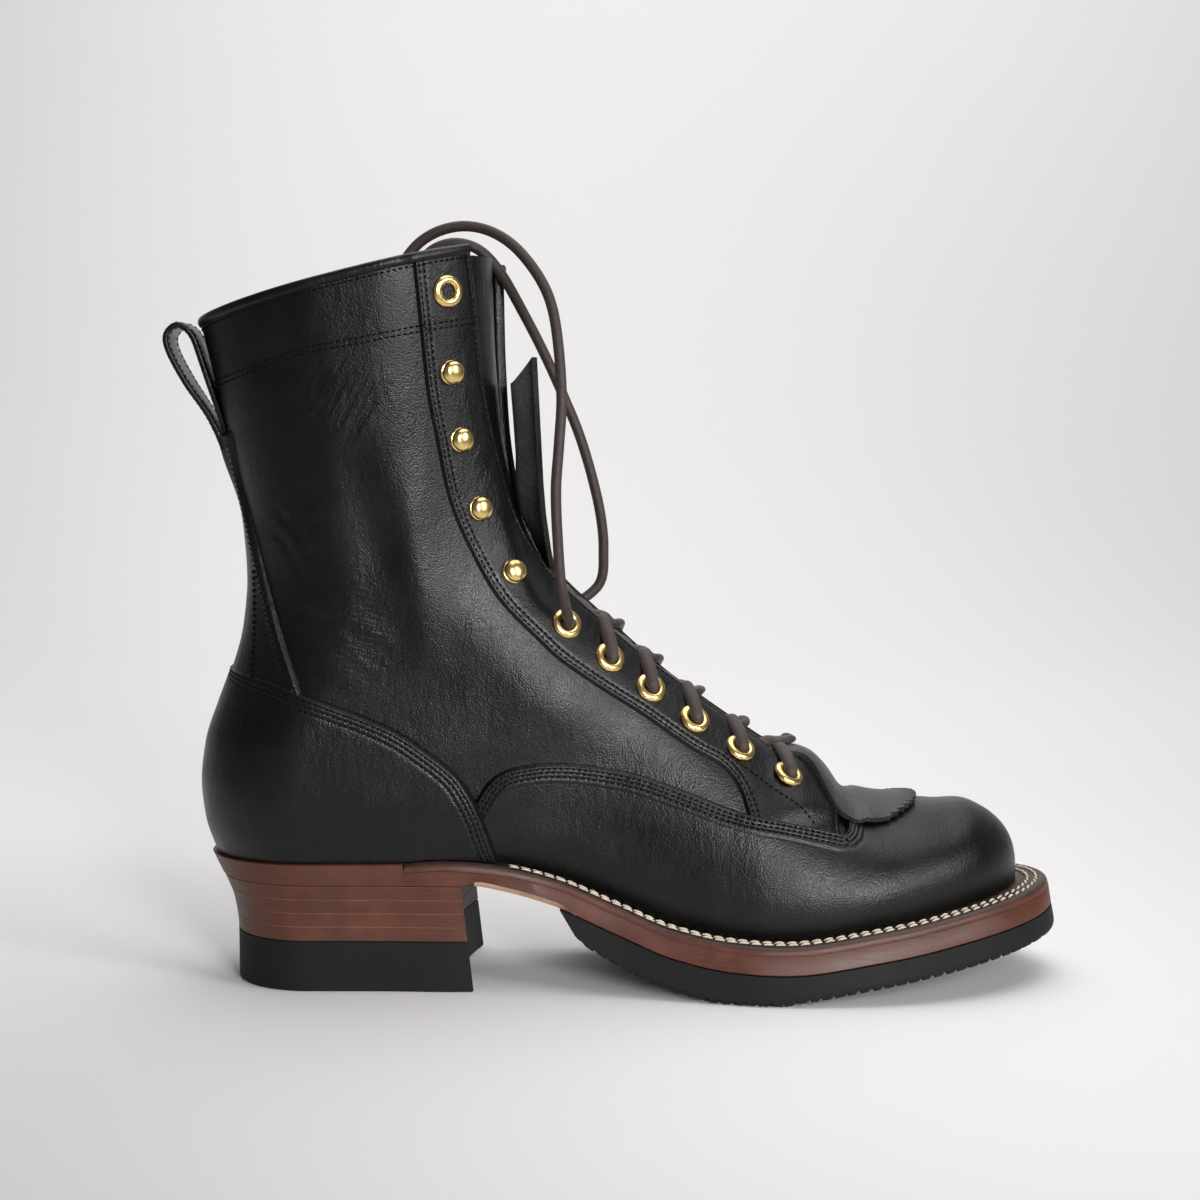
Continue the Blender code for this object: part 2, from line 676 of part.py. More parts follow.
def plan_normals(lines):
    """Outward directions in plan along both halves of a closed outline."""
    loop = np.vstack([lines[OUTER], lines[INNER][-2:0:-1]])
    along = np.roll(loop, -1, axis=0) - np.roll(loop, 1, axis=0)
    normal = np.column_stack([along[:, 1], -along[:, 0]])
    normal /= np.linalg.norm(normal, axis=1, keepdims=True)
    count = len(lines[OUTER])
    inner = np.vstack([normal[:1], normal[count:][::-1], normal[count - 1 : count]])
    return {OUTER: normal[:count], INNER: inner}


SOLE_COUNT = 37
FEATHER_STATIONS, FEATHER_PLAN = feather_line(SOLE_COUNT)
FEATHER_NORMALS = plan_normals(FEATHER_PLAN)


def outset(side, amount):
    """The feather line moved out in plan by an amount for each of its points."""
    amount = np.broadcast_to(amount, FEATHER_STATIONS.shape)
    return FEATHER_PLAN[side] + amount[:, None] * FEATHER_NORMALS[side]


def sole_edge(side, above_tread):
    """The sole's edge in plan, drawn in with height where its edge flares."""
    drawn_in = SOLE_FLARE * above_tread * ramp(FEATHER_STATIONS, FLARE_FROM, FLARE_FULL)
    return outset(side, margin(FEATHER_STATIONS * SOLE[-1].station / TOE_TIP) - drawn_in)


def heel_edge(side, height):
    """The heel's side in plan at a height, drawn in below the sole's rim and fading out ahead of it."""
    normal = FEATHER_NORMALS[side]
    inset = heel_back(height) * normal[:, 0] ** 2 + heel_flank(height) * normal[:, 1] ** 2
    inset *= 1 - ramp(FEATHER_STATIONS, STACK_FRONT, HEEL_FADE_END)
    return sole_edge(side, MIDSOLE_LOW_RISE) - inset[:, None] * normal


def with_stations(line, stations):
    """An edge's points, read again at given stations along it."""
    return np.column_stack([stations, np.interp(stations, line[:, 0], line[:, 1])])


def plate(name, top_edges, bottom_edges, top, bottom, material):
    """A sole layer: outer and inner edges for its top and bottom faces, and the two faces' heights."""
    count = len(top_edges[OUTER])
    rings = []
    for edges, height in ((top_edges, top), (bottom_edges, bottom)):
        for side in SIDES.values():
            rings.append(np.column_stack([edges[side], height(edges[side][:, 0])]))
    points = np.vstack(rings)
    top_outer, top_inner, low_outer, low_inner = (count * k for k in range(4))
    faces = []
    for i in range(count - 1):
        j = i + 1
        faces.append((top_outer + i, top_outer + j, top_inner + j, top_inner + i))
        faces.append((low_outer + i, low_outer + j, low_inner + j, low_inner + i))
        faces.append((top_outer + i, top_outer + j, low_outer + j, low_outer + i))
        faces.append((top_inner + i, top_inner + j, low_inner + j, low_inner + i))
    for i in (0, count - 1):
        faces.append((top_outer + i, top_inner + i, low_inner + i, low_outer + i))
    return make_part(name, points, faces, material, 30)


def make_midsole():
    """The leather midsole, whose rim carries the heel seat and steps down under the welt."""

    def top(station):
        lowered = seat(station) - WELT_THICK - GAP
        return np.where(station < WELT_REAR - WELT_STEP / 2, seat(station), lowered)

    def cut(line):
        stations = np.unique(np.append(line[:, 0], (WELT_REAR - WELT_STEP, WELT_REAR, STACK_FRONT)))
        return with_stations(line, stations)

    over_band = {side: cut(sole_edge(side, MIDSOLE_TOP_RISE)) for side in SIDES.values()}
    under_band = {side: cut(heel_edge(side, STACK_TOP)) for side in SIDES.values()}
    return plate("midsole", over_band, under_band, top, band, brown_sole_leather())


def make_outsole():
    """The rubber forefoot sole, with a skived rear end and a flat spot under the ball."""

    def from_rear(line, rear, last):
        flats = [row.station for row in TREAD if row.height == 0.0]
        kept = line[(line[:, 0] > rear + WELT_STEP) & (line[:, 0] < last), 0]
        stations = np.unique(np.concatenate([[rear], kept, flats, [line[-1, 0]]]))
        return with_stations(line, stations)

    top_edges, bottom_edges = {}, {}
    for side in SIDES.values():
        low = from_rear(sole_edge(side, 0.0), RUBBER_REAR_BOTTOM, SOLE[-1].station)
        high_line = sole_edge(side, RUBBER_TOP_RISE)
        share = (low[:, 0] - low[0, 0]) / (low[-1, 0] - low[0, 0])
        high_stations = RUBBER_REAR_TOP + share * (high_line[-1, 0] - RUBBER_REAR_TOP)
        bottom_edges[side] = low
        top_edges[side] = with_stations(high_line, high_stations)
        top_edges[side][-1] = high_line[-1]
    return plate("outsole", top_edges, bottom_edges, lambda s: band(s) - GAP, tread, black_rubber())


def make_welt():
    """The welt: a leather strip round the forefoot that stands out beyond the upper."""
    first = int(np.searchsorted(FEATHER_STATIONS, WELT_REAR + WELT_STEP))
    sections = []
    order = [(OUTER, i) for i in range(first, SOLE_COUNT)]
    order += [(INNER, i) for i in range(SOLE_COUNT - 2, first - 1, -1)]
    edge = {side: sole_edge(side, WELT_RISE) for side in SIDES.values()}
    inside = {side: outset(side, -WALL - GAP) for side in SIDES.values()}
    for side, i in order:
        pair = [edge[side][i], inside[side][i]]
        top = [np.append(p, seat(p[0])) for p in pair]
        low = [np.append(p, seat(p[0]) - WELT_THICK) for p in pair[::-1]]
        sections.append(top + low)
    points = np.array(sections).reshape(-1, 3)
    faces = []
    for i in range(len(sections) - 1):
        for j in range(4):
            k = (j + 1) % 4
            faces.append((4 * i + j, 4 * i + k, 4 * i + 4 + k, 4 * i + 4 + j))
    last = 4 * (len(sections) - 1)
    faces += [(0, 1, 2, 3), tuple(last + j for j in range(4))]
    return make_part("welt", points, faces, brown_sole_leather(), 30)


def make_insole():
    """The insole with its filler, which drops inside the welt."""
    step_at = WELT_REAR + INSOLE_STEP

    def bottom(station):
        lowered = seat(station) - WELT_THICK
        return np.where(station < step_at + WELT_STEP / 2, seat(station) + GAP, lowered)

    def cut(line):
        stations = np.unique(np.append(line[:, 0], (step_at, step_at + WELT_STEP)))
        return with_stations(line, stations)

    edges = {side: cut(outset(side, -WALL - COUNTER_GAP)) for side in SIDES.values()}
    return plate("insole", edges, edges, lambda s: seat(s) + INSOLE_THICK, bottom, insole_leather())


HEEL_TURNS, BREAST_TURNS = 11, 6


def heel_ring(height):
    """The heel's outline at a height: round the back from breast corner to corner, then along the breast."""
    breast = BREAST_STATION + BREAST_SLOPE * (STACK_TOP - height)
    halves = {}
    for side in SIDES.values():
        line = heel_edge(side, height)
        turn = np.linspace(0, 1, HEEL_TURNS)
        stations = line[0, 0] + (breast - line[0, 0]) * (1 - np.cos(turn * math.pi / 2))
        halves[side] = with_stations(line, stations)
        halves[side][0, 1] = line[0, 1]
    ring = list(halves[OUTER][::-1]) + list(halves[INNER][1:])
    start, end = halves[INNER][-1], halves[OUTER][-1]
    for share in np.linspace(0, 1, BREAST_TURNS)[1:-1]:
        point = start + (end - start) * share
        point[0] -= BREAST_HOLLOW * 4 * share * (1 - share)
        ring.append(point)
    return np.column_stack([np.array(ring), np.full(len(ring), height)])


def make_lift(name, low, high, material):
    """One layer of the heel between two heights."""
    heights = np.linspace(high, low, 2 if high <= TOP_LIFT_HEIGHT else 3)
    rings = [heel_ring(height) for height in heights]
    count = len(rings[0])
    points = np.vstack(rings)
    faces = [tuple(range(count)), tuple(range(len(points) - count, len(points)))]
    for level in range(len(rings) - 1):
        for i in range(count):
            j = (i + 1) % count
            upper, lower = level * count, (level + 1) * count
            faces.append((upper + i, upper + j, lower + j, lower + i))
    return make_part(name, points, faces, material, 30)


def make_heel():
    """The stacked heel: leather lifts from the top down, then the rubber top lift that meets the floor."""
    each = (STACK_TOP - TOP_LIFT_HEIGHT) / LIFTS
    for i in range(LIFTS):
        top = STACK_TOP - i * each
        make_lift(f"heel_lift_{i + 1}", top - each, top - GAP, brown_sole_leather())
    make_lift("heel_top_lift", 0.0, TOP_LIFT_HEIGHT - GAP, black_rubber())


def make_counter():
    """The heel counter: a proud overlay cut between two larger forms of the upper."""
    around, rises = 12, 6
    top = {c: curve(COUNTER_TOP, "along", c) for c in ("station", "height")}
    face = {c: curve(COUNTER_FRONT, "along", c) for c in ("station", "height")}
    turn = 1 - np.cos(np.linspace(0, math.pi / 2, around + 1))
    rise = np.linspace(0, 1, rises + 1)
    low_station = HEEL_FEATHER + (COUNTER_FRONT[-1].station - HEEL_FEATHER) * turn
    low = np.column_stack([low_station, feather(low_station) + COUNTER_GAP])
    high = np.column_stack([top["station"](turn), top["height"](turn)])
    grid = low[:, None] + rise[:, None] * (high - low)[:, None]
    seam_bow = back(grid[0, :, 1]) - grid[0, :, 0]
    front_line = np.column_stack([face["station"](1 - rise), face["height"](1 - rise)])
    grid[..., 0] += (1 - turn)[:, None] * seam_bow
    grid += turn[:, None, None] * (front_line - grid[-1])
    skins = []
    for lift in (COUNTER_GAP + COUNTER_THICK, COUNTER_GAP):
        halves = [place(side, grid[..., 0], grid[..., 1], lift) for side in SIDES.values()]
        skin = np.vstack([halves[0][::-1], halves[1][1:]])
        skin[..., 2] = np.maximum(skin[..., 2], seat(skin[..., 0]) + COUNTER_GAP)
        skins.append(skin)
    return make_part("heel_counter", *sheet_solid(*skins), black_leather())


def make_tongue():
    """The tongue, which lines the throat from under the vamp to the collar."""
    columns = np.linspace(-1, 1, 9)
    skins = []
    for lift in (-WALL - TONGUE_GAP, -WALL - TONGUE_GAP - TONGUE_THICK):
        lines = []
        for row in TONGUE:
            station = float(front(row.height))
            lines.append([over_ridge(station, share * row.half, lift) for share in columns])
        skins.append(np.array(lines))
    return make_part("tongue", *sheet_solid(*skins), black_leather())


def make_kiltie():
    """The false tongue: a free upper end, a strip under the lace and a pinked leaf on the vamp."""
    columns = np.linspace(-1, 1, 2 * KILTIE_TEETH + 1)
    outside, inside = [], []
    for row in KILTIE_END:
        middle = np.array([row.station, float(axis(row.station)), row.height])
        for skin, depth in ((outside, 0.0), (inside, KILTIE_THICK)):
            half = row.half - KILTIE_CURL_NARROWING * depth
            line = [
                middle + np.array([-depth - row.curl * share**2, share * half, 0.0]) for share in columns
            ]
            skin.append(line)
    for row in KILTIE_ROWS:
        for skin, depth in ((outside, 0.0), (inside, KILTIE_THICK)):
            across = float(axis(row.station)) + row.half * columns
            skin.append([over_ridge(row.station, at, row.lift - depth) for at in across])
    last = KILTIE_ROWS[-1]
    for part_way in (0.5, 1.0):
        for skin, depth in ((outside, 0.0), (inside, KILTIE_THICK)):
            line = []
            for k, share in enumerate(columns):
                tip = KILTIE_TIP - KILTIE_TIP_DROP * share**2
                tip -= KILTIE_TOOTH * (k % 2) * (part_way == 1.0)
                station = last.station + part_way * (tip - last.station)
                across = float(axis(station)) + share * (last.half - KILTIE_TIP_NARROWING * part_way)
                lift = last.lift + KILTIE_TIP_RISE * part_way**2
                line.append(over_ridge(station, across, lift - depth))
            skin.append(line)
    return make_part("kiltie", *sheet_solid(np.array(outside), np.array(inside)), black_leather())


def make_pull_loop():
    """The pull loop: a leather strap folded over on itself behind the shaft."""
    line = through([(p.station, p.height) for p in PULL_LOOP], 4.0)
    along = np.gradient(line, axis=0)
    normal = np.column_stack([along[:, 1], -along[:, 0]])
    normal /= np.linalg.norm(normal, axis=1, keepdims=True)
    skins = []
    for shift in (LOOP_THICK / 2, -LOOP_THICK / 2):
        edge = line + shift * normal
        sides = (-LOOP_WIDTH / 2, LOOP_WIDTH / 2)
        skins.append(np.array([[(p[0], side, p[1]) for side in sides] for p in edge]))
    return make_part("pull_loop", *sheet_solid(*skins), black_leather())


def turned_solid(profile, hollow):
    """Points and faces of a turned fitting: a ring where hollow, else closed on its axis."""
    points, faces = [], []
    count = len(profile)
    for k in range(TURNED_SIDES):
        angle = 2 * math.pi * k / TURNED_SIDES
        turn, sway = math.cos(angle), math.sin(angle)
        points += [(row.radius * turn, row.radius * sway, row.height) for row in profile]
    for k in range(TURNED_SIDES):
        here, there = k * count, (k + 1) % TURNED_SIDES * count
        for i in range(count if hollow else count - 1):
            j = (i + 1) % count
            faces.append((here + i, here + j, there + j, there + i))
    if not hollow:
        for end in (0, count - 1):
            faces.append(tuple(k * count + end for k in range(TURNED_SIDES)))
    return np.array(points), faces


def fitting_frame(side, fitting, lift):
    """Position and axes of a fitting on the facing, in boot millimetres."""
    at = place(side, fitting.station, fitting.height, 0.0)
    out = place(side, fitting.station, fitting.height, 1.0) - at
    first = np.cross(out, (0.0, 0.0, 1.0))
    first /= np.linalg.norm(first)
    return at + lift * out, np.column_stack([first, np.cross(out, first), out])


def make_fittings():
    """Brass eyelets and ball hooks, each flat on the facing."""
    for name, side in SIDES.items():
        counts = {"eyelet": 0, "hook": 0}
        for fitting in FITTINGS:
            counts[fitting.kind] += 1
            hollow = fitting.kind == "eyelet"
            points, faces = turned_solid(EYELET_PROFILE if hollow else HOOK_PROFILE, hollow)
            origin, axes = fitting_frame(side, fitting, EYESTAY_THICK + GAP)
            label = f"{fitting.kind}_{name}_{counts[fitting.kind]}"
            make_part(label, origin + points @ axes.T, faces, brass())


def tube(line, radius, sides=TUBE_SIDES):
    """Points and faces of a closed tube along a line."""
    along = np.gradient(line, axis=0)
    along /= np.linalg.norm(along, axis=1, keepdims=True)
    points = []
    for point, forward in zip(line, along):
        first = np.cross(forward, TUBE_GUIDE)
        first /= np.linalg.norm(first)
        second = np.cross(forward, first)
        for k in range(sides):
            angle = 2 * math.pi * k / sides
            points.append(point + radius * (math.cos(angle) * first + math.sin(angle) * second))
    faces = []
    for i in range(len(line) - 1):
        for k in range(sides):
            near, far = i * sides, (i + 1) * sides
            faces.append((near + k, near + (k + 1) % sides, far + (k + 1) % sides, far + k))
    faces += [tuple(range(sides)), tuple(range(len(points) - sides, len(points)))]
    return np.array(points), faces


def strand(side, index):
    """One strand of a crossing: from above its eyelet over the facing's edge to the far side of the gap."""
    here, above = FITTINGS[index], FITTINGS[index + 1]
    start = fitting_frame(side, here, STRAND_START)[0]
    passing = here.station + STRAND_AHEAD[side]
    crossing = here.station + STRAND_CROSSING * (above.station - here.station)
    leaving = here.station + STRAND_FAR * (above.station - here.station)
    shift = float(axis(crossing))
    gap_half = float(throat_half[side](roof(passing)))
    over_edge = over_ridge(passing, shift + side * (gap_half + STRAND_EDGE), STRAND_EDGE_LIFT)
    middle = over_ridge(crossing, shift, STRAND_MIDDLE_LIFT)
    far = over_ridge(leaving, shift - side * STRAND_END, STRAND_FAR_LIFT)
    return through([start, over_edge, middle, far], STRAND_STEP)


def make_lace_crossings():
    """Five crossings of the lace over the throat, each of two strands joined where they cross."""
    for index in range(LACED_EYELETS - 1):
        name = f"lace_crossing_{index + 1}"
        crossing = make_part(name, *tube(strand(OUTER, index), LACE_RADIUS), lace_leather())
        second = make_part(name + "_second", *tube(strand(INNER, index), LACE_RADIUS), lace_leather())
        second.hide_render = True
        second.display_type = "WIRE"
        joined = crossing.modifiers.new("joined", "BOOLEAN")
        joined.operation = "UNION"
        joined.solver = "EXACT"
        joined.object = second


def make_lace_end(name, route):
    """A free end of the lace, as a round cord along its route."""
    line = world(through([tuple(point) for point in route], LACE_STEP))
    data = bpy.data.curves.new(name, "CURVE")
    data.dimensions = "3D"
    data.bevel_depth = LACE_RADIUS * MM
    data.bevel_resolution = 2
    data.use_fill_caps = True
    spline = data.splines.new("POLY")
    spline.points.add(len(line) - 1)
    for point, at in zip(spline.points, line):
        point.co = (*at, 1.0)
    data.materials.append(lace_leather())
    end = bpy.data.objects.new(name, data)
    bpy.context.scene.collection.objects.link(end)
    return end


def main():
    """Build the boot from the ground up."""
    for old in list(bpy.data.objects):
        bpy.data.objects.remove(old)
    make_outsole()
    make_heel()
    make_midsole()
    make_welt()
    make_insole()
    make_upper()
    make_counter()
    make_tongue()
    make_kiltie()
    make_pull_loop()
    make_fittings()
    make_lace_crossings()
    make_lace_end("lace_end_outer", LACE_END_OUTER)
    make_lace_end("lace_end_inner", LACE_END_INNER)


main()
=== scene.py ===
"""Looks of a right-foot lineman boot: a welted black leather boot with a stacked heel and a fringed false tongue.

Sizes are boot millimetres until a mesh is made. A station is a distance ahead of the sole's rear edge, a height is
above the floor, and a side distance is negative on the outer side of the foot.
"""

import logging
import math
from collections.abc import Iterable, Sequence
from dataclasses import dataclass, field
from enum import Enum, IntEnum

import bmesh
import bpy
import numpy as np
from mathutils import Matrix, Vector

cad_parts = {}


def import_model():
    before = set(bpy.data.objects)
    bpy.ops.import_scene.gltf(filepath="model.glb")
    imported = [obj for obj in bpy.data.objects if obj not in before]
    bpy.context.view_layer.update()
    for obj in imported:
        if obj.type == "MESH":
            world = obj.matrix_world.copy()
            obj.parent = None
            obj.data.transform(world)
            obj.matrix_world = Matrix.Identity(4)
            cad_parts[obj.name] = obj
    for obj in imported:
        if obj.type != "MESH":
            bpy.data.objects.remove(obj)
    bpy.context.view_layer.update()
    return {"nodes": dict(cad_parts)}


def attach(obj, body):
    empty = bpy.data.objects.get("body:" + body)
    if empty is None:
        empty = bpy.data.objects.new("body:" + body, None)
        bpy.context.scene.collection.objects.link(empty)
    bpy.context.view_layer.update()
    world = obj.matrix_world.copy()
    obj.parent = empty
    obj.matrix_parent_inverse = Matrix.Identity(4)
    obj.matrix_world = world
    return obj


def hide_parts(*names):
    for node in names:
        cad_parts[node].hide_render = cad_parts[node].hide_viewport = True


Array = np.ndarray
Values = Array | float
Line = tuple[tuple[float, ...], ...]
Span = tuple[float, float]
Tree, Node, Socket = bpy.types.NodeTree, bpy.types.Node, bpy.types.NodeSocket

MM = 0.001
# Where the frame's origin lies, in boot millimetres.
MIDDLE_STATION, MIDDLE_SIDE = 146.9, -0.6
# The gap left between neighbours and the thickness of the upper.
GAP, WALL = 0.3, 2.2
# Points closer than the first are welded, and edges shorter than the second are dropped.
WELD, SLIVER = 0.004, 0.002
BODY = "root"

log = logging.getLogger("lineman_boot")


class Side(IntEnum):
    """Which side of the foot: its value is the sign of the side distance."""

    OUTER = -1
    INNER = 1


class Slot(Enum):
    """Names of material slots."""

    BLACK_LEATHER = "black_leather"
    SOLE_LEATHER = "brown_sole_leather"
    RUBBER = "black_rubber"
    BRASS = "brass"
    LACE = "lace_leather"


def ramp(value: Values, start: float, end: float) -> Array:
    """A smooth step from 0 at start to 1 at end."""
    t = np.clip((np.asarray(value, float) - start) / (end - start), 0, 1)
    return t * t * (3 - 2 * t)


def lengths_along(line: Array) -> Array:
    """Length along a polyline at each of its points."""
    return np.concatenate([[0], np.cumsum(np.linalg.norm(np.diff(line, axis=0), axis=1))])


def at_shares(line: Array, shares: Array) -> Array:
    """Points of a polyline at shares of its length."""
    lengths = lengths_along(line)
    return np.column_stack([np.interp(shares * lengths[-1], lengths, column) for column in line.T])


def even(line: Array, step: float) -> Array:
    """The polyline's points at even lengths of about one step."""
    count = max(2, round(lengths_along(line)[-1] / step) + 1)
    return at_shares(line, np.linspace(0, 1, count))


def bend_rows(rows: Array, parts: int) -> Array:
    """Smooth curves through rows of points.

    Args:
        rows: points whose first index runs along the curves.
        parts: how many steps each span between two rows is cut into.

    Returns:
        The rows with those between them, on cubic spans that meet without a bend.
    """
    rows = np.asarray(rows, float)
    padded = np.concatenate([2 * rows[:1] - rows[1:2], rows, 2 * rows[-1:] - rows[-2:-1]])
    found = []
    for p0, p1, p2, p3 in zip(padded, padded[1:], padded[2:], padded[3:]):
        for t in np.arange(parts) / parts:
            bend = 2 * p0 - 5 * p1 + 4 * p2 - p3
            twist = 3 * p1 - p0 - 3 * p2 + p3
            found.append(p1 + 0.5 * t * ((p2 - p0) + t * (bend + t * twist)))
    return np.array(found + [rows[-1]])


def through(points: Sequence[Sequence[float]] | Array, step: float) -> Array:
    """Points at even steps along a smooth curve through a route's points."""
    return even(bend_rows(np.array(points, float), 20), step)


def nearest_on(line: Array, at: Array) -> tuple[Array, Array]:
    """How far points lie from a polyline, and how far along it.

    Args:
        line: the polyline's points.
        at: the points to measure from.

    Returns:
        Distances, positive to the right of the line's run, and shares of its length.
    """
    lengths = lengths_along(line)
    nearest, along = np.full(at.shape[:-1], np.inf), np.zeros(at.shape[:-1])
    for start, end, length in zip(line, line[1:], lengths):
        span, away = end - start, at - start
        t = np.clip((away @ span) / (span @ span), 0, 1)
        right = away[..., 0] * span[1] - away[..., 1] * span[0]
        away = np.copysign(np.linalg.norm(away - t[..., None] * span, axis=-1), right)
        closer = np.abs(away) < np.abs(nearest)
        nearest = np.where(closer, away, nearest)
        along = np.where(closer, (length + t * np.linalg.norm(span)) / lengths[-1], along)
    return nearest, along


def unit(vectors: Array) -> Array:
    """Vectors scaled to length one."""
    return vectors / np.maximum(np.linalg.norm(vectors, axis=-1, keepdims=True), 1e-9)


class Smooth:
    """A smooth function through rows of values, which never swings past them."""

    def __init__(self, at: Array, values: Array) -> None:
        """Work out the slopes at the rows.

        Args:
            at: where the rows stand, in rising order.
            values: the values there.
        """
        self.at, self.values = at, values
        self.step = np.diff(at)
        slope = np.diff(values) / self.step
        self.tangent = np.concatenate([slope[:1], np.zeros(len(slope) - 1), slope[-1:]])
        for i, (before, after) in enumerate(zip(slope, slope[1:])):
            if before * after > 0:
                first = 2 * self.step[i + 1] + self.step[i]
                second = self.step[i + 1] + 2 * self.step[i]
                self.tangent[i + 1] = (first + second) / (first / before + second / after)

    def __call__(self, at: Values) -> Array:
        """The function's values.

        Args:
            at: where they are asked for.

        Returns:
            Values on cubic spans, level past the ends.
        """
        at = np.clip(np.asarray(at, float), self.at[0], self.at[-1])
        i = np.clip(np.searchsorted(self.at, at, side="right") - 1, 0, len(self.step) - 1)
        t = (at - self.at[i]) / self.step[i]
        ends = (1 + 2 * t) * (1 - t) ** 2 * self.values[i] + t * t * (3 - 2 * t) * self.values[i + 1]
        return ends + self.step[i] * t * (1 - t) * ((1 - t) * self.tangent[i] - t * self.tangent[i + 1])


@dataclass(frozen=True)
class Table:
    """A short table of sizes with named columns."""

    columns: str
    rows: Line

    def smooth(self, name: str) -> Smooth:
        """A smooth function from the first column to another."""
        number = self.columns.split().index(name)
        return Smooth(*(np.array([row[k] for row in self.rows], float) for k in (0, number)))


@dataclass(frozen=True)
class Crease:
    """A soft trough in the leather along a line in the side view, with a low ridge on each flank."""

    line: Line
    depth: float
    width: float
    ridge: float = 0.0
    flank: float = 1.9
    fade: Span = (-0.02, 0.3)

    def relief(self, station: Array, height: Array) -> Array:
        """How far the crease moves the surface out, which is negative in its trough.

        Args:
            station: the stations.
            height: the heights.

        Returns:
            Millimetres along the surface's normal.
        """
        away, along = nearest_on(bend_rows(np.array(self.line), 4), np.stack([station, height], axis=-1))
        away = np.abs(away) / self.width
        fade = ramp(np.minimum(along, 1 - along), *self.fade)
        return fade * (self.ridge * np.exp(-((away - self.flank) ** 2)) - self.depth * np.exp(-(away**2)))


@dataclass(frozen=True)
class GridSpans:
    """How finely the upper is divided: round the heel, along the throat, round the toe, and up each section."""

    heel: int
    throat: int
    toe: int
    rise: int


